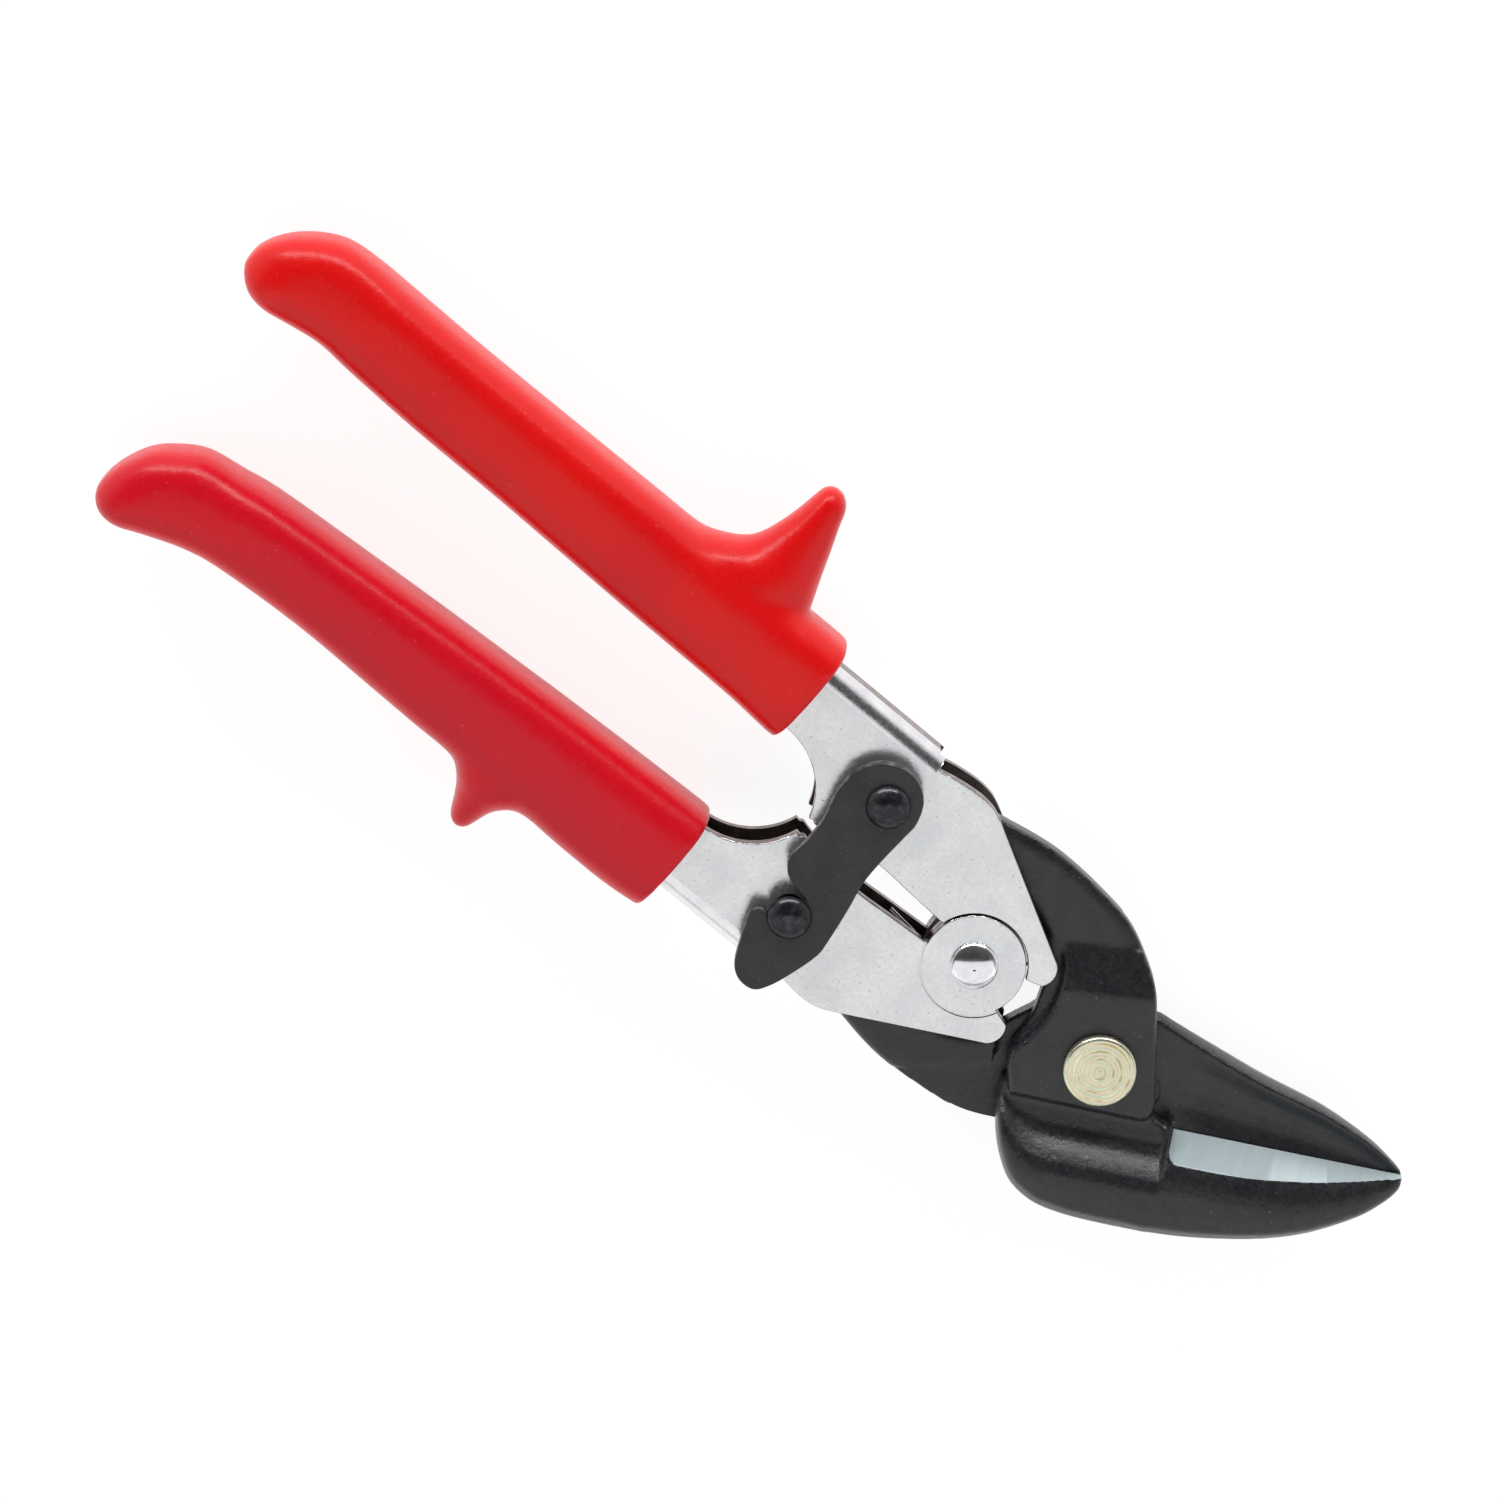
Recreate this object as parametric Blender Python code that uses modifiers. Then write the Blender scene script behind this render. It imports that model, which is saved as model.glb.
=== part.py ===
"""Aviation snips: two channel handles that drive a pair of forged, offset
blades through a compound linkage, with a swinging latch that locks them shut.

Lengths are millimetres, turned into metres where an object is made.  X runs
from the grips to the jaws, Y towards the upper handle, Z up from the surface
that the snips lie on.  Heights in the code are counted from the shear plane,
where the two blades meet.  The blade bolt stands on the origin.
"""

import math

import bmesh
import bpy
from mathutils import Matrix, Vector

MM = 0.001
SHEAR_HEIGHT = 11.8            # height of the shear plane above the surface
GAP = 0.3                      # clearance between touching pieces
ROUND_STEPS = 20               # sides of a turned piece

# Joint axes, all parallel to Z
BOLT = (0.0, 0.0)
HANDLE_PIVOT = (-29.3, 0.0)
UPPER_TANG_PIVOT = (-60.8, 13.2)
LOWER_TANG_PIVOT = (-60.8, -13.2)

# Pressed steel handles
PLATE_OUT = 5.5                # outer face of a handle's side plates
PLATE_IN = 3.5                 # inner face
WEB_Y = 25.3                   # outside of the channel's web
FOLD_RADIUS = 3.5
SHANK_END_X = -150.0           # how far the channel runs into the grip
SHANK_INNER_Y = 11.5           # open side of the channel, at the grip's mouth
SHANK_END_Y = 15.5             # and at its end
WEB_END_X = -57.6              # the web stops here, towards the jaws
EAR_RADIUS = 9.2               # round ears at the handle pivot
EAR_RECESS = 9.5               # cut in the other handle around an ear
INNER_EAR = (1.6, 3.2)         # heights of the upper handle's inner ears
JOGGLE = (9.8, 11.8)           # radii of the step that carries an inner ear
JOGGLE_SECTOR = (40, 140)      # degrees round the handle pivot

# Blades
TANG_HALF = 3.1
BOSS_TOP = 6.0
SHEAR_GAP = 0.15               # each blade stays this far off the shear plane
FRONT_HEEL = (17.3, 80)        # radius round the bolt where a tang's far half
REAR_HEEL = (18.6, 138)        # stops, and the angle where that arc starts
RAMP_START = (-18.5, 14.0)     # where the tang starts to rise to the boss
RAMP_ALONG = (0.83, 0.56)      # direction of the ramp's foot
RAMP_RUN = 8.3
TANG_BOSS_RADIUS = 7.0
TANG_INNER_RADIUS = 13.2       # the tangs' inner edges, round the handle pivot

# Rivets, bolt and their holes
TANG_SHANK = 2.5
OPEN_PIVOT_HOLE = 3.2          # the rear tang's hole, where the linkage is open
HANDLE_SHANK = 2.6
BOLT_SHANK = 4.0
BOLT_HEAD = 6.5
TANG_HEAD = 3.9
TANG_HEAD_HEIGHTS = (10.5, 12.8)
HANDLE_HEAD = 4.2
HANDLE_HEAD_HEIGHTS = (5.8, 7.5)
WASHER_RADIUS = 5.2
LATCH_HEIGHTS = (7.8, 10.2)

# Moulded grips
GRIP_SQUARENESS = 3.0          # exponent of the grip's rounded section

# The latch turns three times as far as the handles
LATCH_RATIO = 3.0
RELEASE_ANGLE = 9.0            # handle travel over which the pin leaves the hook


def new_collection(name):
    made = bpy.data.collections.new(name)
    bpy.context.scene.collection.children.link(made)
    return made


def new_material(name, colour, roughness, metallic):
    made = bpy.data.materials.new(name)
    made.use_nodes = True
    shader = made.node_tree.nodes["Principled BSDF"]
    shader.inputs["Base Color"].default_value = (*colour, 1.0)
    shader.inputs["Roughness"].default_value = roughness
    shader.inputs["Metallic"].default_value = metallic
    made.diffuse_color = (*colour, 1.0)
    return made


for old in list(bpy.data.objects):
    bpy.data.objects.remove(old)
SNIPS = new_collection("aviation_snips")
CUTTERS = new_collection("cutters")


# ---------------------------------------------------------------- geometry

def level(height):
    """Height above the shear plane, as a world coordinate in metres."""
    return (SHEAR_HEIGHT + height) * MM


def arc(centre, radius, start, end, steps):
    """Points on a circle from one angle to another, in degrees."""
    points = []
    for step in range(steps + 1):
        angle = math.radians(start + (end - start) * step / steps)
        x = centre[0] + radius * math.cos(angle)
        y = centre[1] + radius * math.sin(angle)
        points.append((x, y))
    return points


def circle(centre, radius, steps=ROUND_STEPS):
    return arc(centre, radius, 0, 360, steps)[:-1]


def turned_about(point, centre, degrees):
    """A point turned about a centre."""
    angle = math.radians(degrees)
    x, y = point[0] - centre[0], point[1] - centre[1]
    return (centre[0] + x * math.cos(angle) - y * math.sin(angle),
            centre[1] + x * math.sin(angle) + y * math.cos(angle))


def mirrored(points):
    """The outline's mirror image in the snips' long axis."""
    return [(x, -y) for x, y in reversed(points)]


def smooth_line(points, steps=4):
    """A Catmull-Rom curve through open points."""
    padded = [points[0], *points, points[-1]]
    line = [points[0]]
    for a, b, c, d in zip(padded, padded[1:], padded[2:], padded[3:]):
        for step in range(1, steps + 1):
            t = step / steps
            line.append(tuple(
                0.5 * (2 * q + (r - p) * t + (2 * p - 5 * q + 4 * r - s) * t * t
                       + (3 * q - p - 3 * r + s) * t ** 3)
                for p, q, r, s in zip(a, b, c, d)))
    return line


def add_object(name, mesh, group, look=None):
    made = bpy.data.objects.new(name, mesh)
    group.objects.link(made)
    if look:
        mesh.materials.append(look)
    if group is CUTTERS:
        made.hide_render = True
        made.display_type = "WIRE"
    return made


def plate(name, loops, low, high, group=None, look=None):
    """A flat piece: an outline and its holes, between two heights."""
    curve = bpy.data.curves.new(name, "CURVE")
    curve.dimensions = "2D"
    curve.fill_mode = "BOTH"
    curve.extrude = (high - low) / 2 * MM
    for loop in loops:
        spline = curve.splines.new("POLY")
        spline.points.add(len(loop) - 1)
        for point, (x, y) in zip(spline.points, loop):
            point.co = (x * MM, y * MM, 0, 1)
        spline.use_cyclic_u = True
    guide = bpy.data.objects.new(name, curve)
    guide.location.z = level((low + high) / 2)
    CUTTERS.objects.link(guide)
    mesh = mesh_of(guide)
    bpy.data.objects.remove(guide)
    return add_object(name, mesh, group or CUTTERS, look)


def mesh_of(source):
    """A welded mesh of an object as it is evaluated, in world coordinates."""
    bpy.context.view_layer.update()
    graph = bpy.context.evaluated_depsgraph_get()
    mesh = bpy.data.meshes.new_from_object(source.evaluated_get(graph))
    mesh.transform(source.matrix_world)
    work = bmesh.new()
    work.from_mesh(mesh)
    bmesh.ops.remove_doubles(work, verts=work.verts, dist=1e-6)
    bmesh.ops.recalc_face_normals(work, faces=work.faces)
    work.to_mesh(mesh)
    work.free()
    return mesh


def turned(name, profile, centre, look, group=None):
    """A turned piece, from (radius, height) points down its outer side."""
    mesh = bpy.data.meshes.new(name)
    mesh.from_pydata([(r * MM, 0, z * MM) for r, z in profile],
                     [(i, i + 1) for i in range(len(profile) - 1)], [])
    made = add_object(name, mesh, group or SNIPS, look)
    made.location = (centre[0] * MM, centre[1] * MM, level(0))
    screw = made.modifiers.new("turn", "SCREW")
    screw.steps = ROUND_STEPS
    screw.render_steps = ROUND_STEPS
    screw.use_merge_vertices = True
    screw.merge_threshold = 1e-6
    return made


def ring(name, centre, inner, outer, low, high, look):
    """A washer or a sleeve."""
    loops = [circle(centre, outer), circle(centre, inner)]
    return plate(name, loops, low, high, SNIPS, look)


def loft(name, sections, group=None, look=None):
    """A closed body through rings of points with equal counts."""
    mesh = bpy.data.meshes.new(name)
    work = bmesh.new()
    rings = []
    for section in sections:
        rings.append([work.verts.new((x * MM, y * MM, level(z)))
                      for x, y, z in section])
    count = len(rings[0])
    for near, far in zip(rings, rings[1:]):
        for i in range(count):
            j = (i + 1) % count
            work.faces.new((near[i], near[j], far[j], far[i]))
    caps = [work.faces.new(rings[0]), work.faces.new(rings[-1])]
    bmesh.ops.recalc_face_normals(work, faces=work.faces)
    bmesh.ops.triangulate(work, faces=caps)
    work.to_mesh(mesh)
    work.free()
    return add_object(name, mesh, group or CUTTERS, look)


def block(name, corners_low, corners_high, turn=None):
    """A box cutter, turned afterwards by a matrix if one is given."""
    mesh = bpy.data.meshes.new(name)
    work = bmesh.new()
    bmesh.ops.create_cube(work, size=1.0)
    low, high = Vector(corners_low), Vector(corners_high)
    scale = Matrix.Diagonal((*((high - low) * MM), 1.0))
    move = Matrix.Translation((low + high) / 2 * MM)
    work.transform(move @ scale)
    if turn is not None:
        work.transform(turn)
    work.to_mesh(mesh)
    work.free()
    return add_object(name, mesh, CUTTERS)


def combine(target, tool, operation):
    step = target.modifiers.new(f"{operation.lower()} {tool.name}", "BOOLEAN")
    step.object = tool
    step.operation = operation
    step.solver = "EXACT"


def cut(target, *tools):
    for tool in tools:
        combine(target, tool, "DIFFERENCE")


def join(target, *tools):
    for tool in tools:
        combine(target, tool, "UNION")


def hole(target, centre, radius):
    """A round hole straight through a piece."""
    name = f"{target.name}_hole_{len(target.modifiers)}"
    reach = 2 * SHEAR_HEIGHT
    cut(target, plate(name, [circle(centre, radius)], -reach, reach))


def seat(target, centre):
    """Put the piece's origin on its joint axis, at the shear plane."""
    origin = Vector((centre[0] * MM, centre[1] * MM, level(0)))
    target.data.transform(Matrix.Translation(-origin))
    target.location = origin


def half_turn(target):
    """Turn a shape over about the long axis in the shear plane."""
    to_plane = Matrix.Translation((0, 0, level(0)))
    over = Matrix.Rotation(math.pi, 4, "X")
    target.data.transform(to_plane @ over @ to_plane.inverted())


# ---------------------------------------------------------------- handles

def handle_outline(has_ear):
    """Side view of the upper handle, counter-clockwise from the grip's end.

    At the handle pivot it has either a round ear or a recess around one.
    """
    throat = (-82.5, -2.8)
    throat_radius = SHANK_INNER_Y - throat[1]
    points = [(SHANK_END_X, WEB_Y), (SHANK_END_X, SHANK_END_Y)]
    points += arc(throat, throat_radius, 90, 18, 8)
    points += [(-66.6, 1.6)]
    points += smooth_line([(-54.7, 3.2), (-46.5, 2.7), (-39.6, 2.3)], 2)
    if has_ear:
        points += arc(HANDLE_PIVOT, EAR_RADIUS, 166, 384, 22)
    else:
        points += arc(HANDLE_PIVOT, EAR_RECESS, 166, 24, 14)
    points += arc((-20.3, 6.9), 3.4, -40, 50, 5)
    points += smooth_line([(-43.0, 22.9), (-45.6, 23.9), (-49.0, 24.2),
                           (-53.5, 23.7), (WEB_END_X + 0.2, 22.9)], 2)
    points += [(WEB_END_X, WEB_Y)]
    return points


def fold_cutter(name, side, face):
    """What rounds the long fold between the web and one side plate."""
    centre = (WEB_Y - FOLD_RADIUS, PLATE_OUT - FOLD_RADIUS)
    profile = arc(centre, FOLD_RADIUS, 0, 90, 6)
    profile += [(centre[0], PLATE_OUT + 1), (WEB_Y + 1, PLATE_OUT + 1),
                (WEB_Y + 1, centre[1])]
    ends = (SHANK_END_X - 1, WEB_END_X + 0.1)
    return loft(name, [[(x, side * y, face * z) for y, z in profile]
                       for x in ends])


def channel(name, side, look):
    """A handle's pressed channel, closed only along its web."""
    outline = handle_outline(has_ear=side < 0)
    if side < 0:
        outline = mirrored(outline)
    made = plate(name, [outline], -PLATE_OUT, PLATE_OUT, SNIPS, look)
    cut(made, fold_cutter(f"{name}_front_fold", side, 1),
        fold_cutter(f"{name}_rear_fold", side, -1))
    web_in = WEB_Y - (PLATE_OUT - PLATE_IN)
    inside = [(-190, -30), (10, -30), (10, 40), (WEB_END_X + 0.2, 40),
              (WEB_END_X - 1.4, web_in), (-190, web_in)]
    if side < 0:
        inside = mirrored(inside)
    cut(made, plate(f"{name}_inside", [inside], -PLATE_IN, PLATE_IN))
    return made


def make_upper_handle(look):
    made = channel("upper_handle", 1, look)
    low, high = INNER_EAR
    for face in (1, -1):
        ear_loop = arc(HANDLE_PIVOT, JOGGLE[1], *JOGGLE_SECTOR, 10)
        ear_loop += arc(HANDLE_PIVOT, EAR_RADIUS, JOGGLE_SECTOR[1],
                        JOGGLE_SECTOR[0] + 360, 20)
        first, last = JOGGLE_SECTOR[0] + 2, JOGGLE_SECTOR[1] - 2
        step_loop = arc(HANDLE_PIVOT, JOGGLE[1] - 0.3, first, last, 9)
        step_loop += arc(HANDLE_PIVOT, JOGGLE[0], last, first, 9)
        spans = [sorted((face * low, face * high)),
                 sorted((face * (low + 0.4), face * (PLATE_IN + 0.5)))]
        side = "front" if face > 0 else "rear"
        ear = plate(f"{side}_inner_ear", [ear_loop], *spans[0])
        step = plate(f"{side}_joggle", [step_loop], *spans[1])
        join(ear, step)
        join(made, ear)
    hole(made, HANDLE_PIVOT, HANDLE_SHANK + GAP)
    hole(made, UPPER_TANG_PIVOT, TANG_SHANK + GAP)
    return made


def make_lower_handle(look):
    made = channel("lower_handle", -1, look)
    hole(made, HANDLE_PIVOT, HANDLE_SHANK + GAP)
    hole(made, LOWER_TANG_PIVOT, TANG_SHANK + GAP)
    seat(made, HANDLE_PIVOT)
    return made


# ---------------------------------------------------------------- grips

# Stations along a grip: X, lower edge, upper edge, half thickness
UPPER_GRIP = [(-206.0, 13.4, 16.6, 2.4), (-204.8, 11.6, 19.4, 4.6),
              (-202.2, 9.7, 22.7, 6.8), (-198.5, 9.2, 25.6, 8.3),
              (-194.0, 10.0, 27.6, 9.0), (-187.5, 11.0, 28.1, 9.6),
              (-180.6, 10.6, 28.0, 10.0), (-165.0, 10.0, 27.8, 10.0),
              (-146.0, 9.9, 27.9, 10.0), (-120.0, 9.3, 28.2, 10.0),
              (-103.0, 9.1, 28.6, 10.0), (-93.0, 8.9, 28.9, 10.0),
              (-85.6, 8.4, 28.9, 9.8), (-83.2, 8.9, 27.6, 9.2)]
LOWER_GRIP = [(-200.5, -33.6, -30.2, 2.4), (-199.6, -35.4, -26.9, 4.6),
              (-197.4, -36.9, -22.6, 6.8), (-194.0, -36.9, -19.4, 8.3),
              (-189.4, -34.9, -16.7, 9.0), (-182.5, -32.2, -15.6, 9.6),
              (-175.3, -30.8, -14.5, 10.0), (-158.9, -29.9, -13.4, 10.0),
              (-143.0, -30.2, -12.4, 10.0), (-125.8, -30.6, -11.5, 10.0),
              (-111.2, -30.8, -10.8, 10.0), (-91.4, -31.2, -10.1, 10.0),
              (-84.2, -30.4, -10.1, 9.8), (-82.2, -28.6, -11.4, 9.2)]
UPPER_GUARD = [(-122.0, 22.0), (-117.0, 28.0), (-112.8, 29.3), (-109.4, 31.4),
               (-107.2, 34.9), (-105.6, 39.9), (-104.6, 46.4), (-103.5, 47.9),
               (-101.8, 48.4), (-100.2, 47.7), (-99.6, 46.6), (-92.8, 29.6),
               (-88.0, 22.0)]
LOWER_GUARD = [(-104.0, -24.0), (-108.3, -30.9), (-111.2, -34.0),
               (-112.7, -38.4), (-113.7, -39.9), (-115.6, -39.7),
               (-117.2, -37.7), (-119.8, -33.6), (-122.6, -31.2),
               (-130.0, -24.0)]
GUARD_HALF = 7.0


def grip_section(x, low, high, half):
    """One rounded, squarish ring round a grip."""
    middle, reach = (low + high) / 2, (high - low) / 2
    power = 2 / GRIP_SQUARENESS
    section = []
    for x_unit, y_unit in circle((0, 0), 1.0, 24):
        y = middle + reach * math.copysign(abs(y_unit) ** power, y_unit)
        z = half * math.copysign(abs(x_unit) ** power, x_unit)
        section.append((x, y, z))
    return section


def make_grip(name, stations, guard, side, look):
    """A moulded sleeve over the channel, with a hand guard."""
    made = loft(name, [grip_section(*s) for s in stations], SNIPS, look)
    fin = plate(f"{name}_guard", [guard], -GUARD_HALF, GUARD_HALF)
    edge = fin.modifiers.new("round", "BEVEL")
    edge.width = 1.4 * MM
    edge.segments = 2
    join(made, fin)
    spread = PLATE_OUT + GAP
    end_x = SHANK_END_X - GAP
    inner, outer = SHANK_INNER_Y - GAP, WEB_Y + GAP
    pocket = [(end_x, outer), (end_x, SHANK_END_Y - GAP), (-82.0, inner),
              (-60.0, inner), (-60.0, outer)]
    if side < 0:
        pocket = mirrored(pocket)
    cut(made, plate(f"{name}_pocket", [pocket], -spread, spread))
    return made


# ---------------------------------------------------------------- blades

def blade_outline():
    """Side view of a tang and its boss, for the front blade."""
    points = arc(UPPER_TANG_PIVOT, TANG_BOSS_RADIUS, 95, 262, 12)
    points += [(-50.0, 7.6)]
    points += arc(HANDLE_PIVOT, TANG_INNER_RADIUS, 118, 16, 12)
    points += [(-14.8, -1.0), (-14.6, -6.0)]
    points += [(-11.3, -11.7), (-8.9, -13.9)]
    points += [(12.6, -2.4), (13.0, -0.6), (12.2, 1.0), (2.0, 13.2)]
    points += smooth_line([(-1.4, 16.9), (-5.8, 19.8), (-12.5, 22.9),
                           (-19.9, 24.1), (-28.1, 24.6), (-34.1, 24.2),
                           (-41.3, 22.9)], 2)
    return points


def tang_and_boss(name, heel, group, look):
    """The tang, full height up to the heel, and the half-height boss."""
    made = plate(name, [blade_outline()], -TANG_HALF, BOSS_TOP, group, look)

    # The face falls from the boss to the tang down a ramp.
    along = Vector((*RAMP_ALONG, 0)).normalized()
    across = Vector((along.y, -along.x, 0))
    rise = math.atan2(BOSS_TOP - TANG_HALF, RAMP_RUN)
    foot = Vector((RAMP_START[0], RAMP_START[1], SHEAR_HEIGHT + TANG_HALF)) * MM
    frame = Matrix((across, along, (0, 0, 1))).transposed().to_4x4()
    to_foot = Matrix.Translation(foot) @ frame
    slope = to_foot @ Matrix.Rotation(-rise, 4, "Y")
    ramp = block(f"{name}_ramp", (0, -60, 0), (60, 60, 30), slope)
    flat = block(f"{name}_tang_face", (-90, -60, 0), (0, 60, 30), to_foot)
    join(flat, ramp)
    only_tang = block(f"{name}_above_boss", (RAMP_RUN + 0.01, -80, -1),
                      (120, 80, 50), to_foot)
    cut(flat, only_tang)
    cut(made, flat)

    # Beside the handles' lobes the boss stands back from the tang's edge.
    side = [(-18.9, 12.9), (-15.6, 8.2), (-13.4, 2.3), (-13.4, -7.0),
            (-40.0, -7.0), (-40.0, 12.9)]
    cut(made, plate(f"{name}_boss_side", [side], TANG_HALF, SHEAR_HEIGHT))

    # Below the shear plane only the tang remains, outside the heel.
    radius, start = heel
    loop = [(30, -60), (30, 60)] + arc(BOLT, 60, start, start, 1)[:1]
    loop += arc(BOLT, radius, start, 180, 16) + [(-radius, -60)]
    cut(made, plate(f"{name}_heel", [loop], -2 * SHEAR_HEIGHT, SHEAR_GAP))
    return made


# The jaws are drawn along the cutting edge: "along" runs from the bolt to the
# tip, and "down" away from the upper jaw.
EDGE_ANGLE = math.radians(28.3)
EDGE_DOWN = 9.9                # how far below the bolt the cutting edge runs


def jaw_point(along, down, height):
    x = along * math.cos(EDGE_ANGLE) + down * math.sin(EDGE_ANGLE)
    y = along * math.sin(EDGE_ANGLE) - down * math.cos(EDGE_ANGLE)
    return (x, y, height)


# Along, belly's depth and crest height of the lower jaw
LOWER_JAW = [(-15.8, 12.7, 4.4), (-15.1, 16.3, 6.2), (-13.3, 20.7, 7.8),
             (-10.7, 24.6, 8.9), (-6.3, 27.3, 9.5), (-1.5, 28.3, 9.5),
             (3.3, 28.8, 9.5), (9.2, 28.9, 9.5), (11.5, 28.9, 9.5),
             (15.0, 28.8, 9.5), (21.0, 28.3, 9.5), (27.7, 27.3, 9.4),
             (35.7, 25.6, 9.0), (43.4, 22.9, 8.1), (50.9, 18.8, 6.4),
             (55.8, 14.7, 4.4), (57.8, 12.0, 3.0)]


def lower_jaw_section(along, belly, crest):
    """Cove beside the boss, rounded bulge, belly and flat shear face."""
    start = 6.0 if along < 9.5 else 9.0
    start = min(start, belly - 3.0)
    span = belly - start
    cove = min(4.5, crest * 0.7)
    shape = [(start, SHEAR_GAP), (start, cove - 0.2),
             (start + 0.16 * span, cove),
             (start + 0.26 * span, cove + 0.30 * (crest - cove)),
             (start + 0.36 * span, cove + 0.72 * (crest - cove)),
             (start + 0.47 * span, crest - 0.1),
             (start + 0.60 * span, crest),
             (start + 0.76 * span, 0.94 * crest),
             (start + 0.90 * span, 0.76 * crest),
             (belly - 0.2, 0.52 * crest), (belly, 0.34 * crest),
             (belly - 0.3, 0.18 * crest),
             (belly - min(1.2, 0.2 * span), SHEAR_GAP)]
    return [jaw_point(along, down, height) for down, height in shape]


def ground_bevel():
    """The wedge that grinding takes off above the lower cutting edge."""
    sections = []
    for along in (15.6, 62.0):
        taper = 0.0 if along < 40 else 1.2
        shape = [(EDGE_DOWN, SHEAR_GAP - 0.2), (13.9 - taper, 7.2),
                 (15.9 - taper, 12.0), (-8.0, 12.0), (-8.0, SHEAR_GAP - 0.2)]
        sections.append([jaw_point(along, *point) for point in shape])
    return loft("ground_bevel", sections)


# Along, spine's place and depth of the upper jaw's back
UPPER_JAW = [(0.0, -3.0, 5.0), (5.0, -8.6, 5.4), (8.4, -10.1, 5.8),
             (12.3, -8.7, 6.6), (16.5, -7.0, 7.6), (21.2, -5.2, 8.3),
             (30.1, -2.0, 8.6), (41.8, 1.3, 7.4), (50.8, 5.1, 5.6),
             (56.2, 8.4, 3.9), (58.0, 9.9, 2.9)]
UPPER_EDGE_DOWN = 11.4


def upper_jaw_section(along, spine, depth):
    """Flat shear face, rounded spine and a back that thins to the edge."""
    edge = min(UPPER_EDGE_DOWN, 6.0 + along)
    span = edge - spine
    shape = [(edge, -SHEAR_GAP), (edge - 0.12 * span, -0.42 * depth),
             (edge - 0.28 * span, -0.74 * depth),
             (edge - 0.46 * span, -0.94 * depth),
             (edge - 0.64 * span, -depth),
             (edge - 0.82 * span, -0.96 * depth),
             (spine + 0.07 * span, -0.84 * depth),
             (spine + 0.015 * span, -0.62 * depth), (spine, -0.40 * depth),
             (spine + 0.03 * span, -0.20 * depth),
             (spine + 0.08 * span, -SHEAR_GAP)]
    return [jaw_point(along, down, height) for down, height in shape]


def make_front_blade(look):
    made = tang_and_boss("front_blade", FRONT_HEEL, SNIPS, look)
    jaw = loft("lower_jaw", [lower_jaw_section(*s) for s in LOWER_JAW])
    cut(jaw, ground_bevel())
    join(made, jaw)
    hole(made, BOLT, BOLT_SHANK + GAP)
    hole(made, UPPER_TANG_PIVOT, TANG_SHANK + GAP)
    seat(made, UPPER_TANG_PIVOT)
    return made


def make_rear_blade(look):
    shape = tang_and_boss("rear_tang_and_boss", REAR_HEEL, CUTTERS, None)
    mesh = mesh_of(shape)
    made = add_object("rear_blade", mesh, SNIPS, look)
    half_turn(made)
    jaw = loft("upper_jaw", [upper_jaw_section(*s) for s in UPPER_JAW])
    join(made, jaw)
    hole(made, BOLT, BOLT_SHANK + GAP)
    hole(made, LOWER_TANG_PIVOT, OPEN_PIVOT_HOLE)
    seat(made, BOLT)
    return made


# ---------------------------------------------------------------- latch

def latch_outline():
    """Side view of the hook, counter-clockwise from the pocket's lip."""
    pocket = TANG_SHANK + GAP + 0.1
    points = [(-63.6, -15.4), (-62.4, -15.7)]
    points += arc(LOWER_TANG_PIVOT, pocket, 262, 430, 12)
    points += [(-60.6, -9.0), (-64.8, -8.1), (-66.9, -6.6), (-67.8, -4.5)]
    points += smooth_line([(-67.5, 0.0), (-67.9, 4.4), (-69.1, 8.6),
                           (-69.4, 12.0)], 2)
    points += smooth_line([(-69.0, 15.0), (-66.8, 18.4), (-63.0, 20.2),
                           (-59.1, 19.7), (-56.4, 17.6), (-54.9, 14.0),
                           (-54.9, 10.4), (-55.1, 4.6), (-54.9, -0.3),
                           (-53.8, -5.4), (-52.7, -11.8), (-52.4, -15.6),
                           (-53.8, -21.4), (-55.2, -25.2), (-56.8, -27.4),
                           (-59.4, -27.8), (-61.8, -26.7), (-63.6, -24.1),
                           (-66.4, -17.5), (-66.1, -15.6), (-65.0, -15.0)], 2)
    return list(reversed(points))


NECK_FLAT = 0.5                # the neck keeps what lies beyond this
NECK_SIDE = (-0.431, 0.902)    # towards the kept half of the lower rivet's neck


def neck_outline(extra):
    """The half-moon neck of the lower rivet, grown by a clearance."""
    facing = math.degrees(math.atan2(NECK_SIDE[1], NECK_SIDE[0]))
    radius = TANG_SHANK + extra
    half = math.degrees(math.acos((NECK_FLAT - extra) / radius))
    return arc(LOWER_TANG_PIVOT, radius, facing - half, facing + half, 12)


def release_cutters():
    """Where the neck passes through the hook as the snips open."""
    steps = 12
    cutters = []
    loops = []
    for step in range(steps + 1):
        travel = RELEASE_ANGLE * step / steps
        loop = []
        for point in neck_outline(GAP):
            moved = turned_about(point, HANDLE_PIVOT, travel)
            back = -travel * LATCH_RATIO
            loop.append(turned_about(moved, UPPER_TANG_PIVOT, back))
        loops.append(loop)
    low, high = LATCH_HEIGHTS[0] - 1, LATCH_HEIGHTS[1] + 1
    for step, (near, far) in enumerate(zip(loops, loops[1:])):
        mesh = bpy.data.meshes.new(f"release_{step}")
        work = bmesh.new()
        for x, y in near + far:
            work.verts.new((x * MM, y * MM, level(low)))
            work.verts.new((x * MM, y * MM, level(high)))
        bmesh.ops.convex_hull(work, input=work.verts)
        loose = [v for v in work.verts if not v.link_faces]
        bmesh.ops.delete(work, geom=loose, context="VERTS")
        bmesh.ops.recalc_face_normals(work, faces=work.faces)
        work.to_mesh(mesh)
        work.free()
        cutters.append(add_object(f"release_{step}", mesh, CUTTERS))
    return cutters


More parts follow.
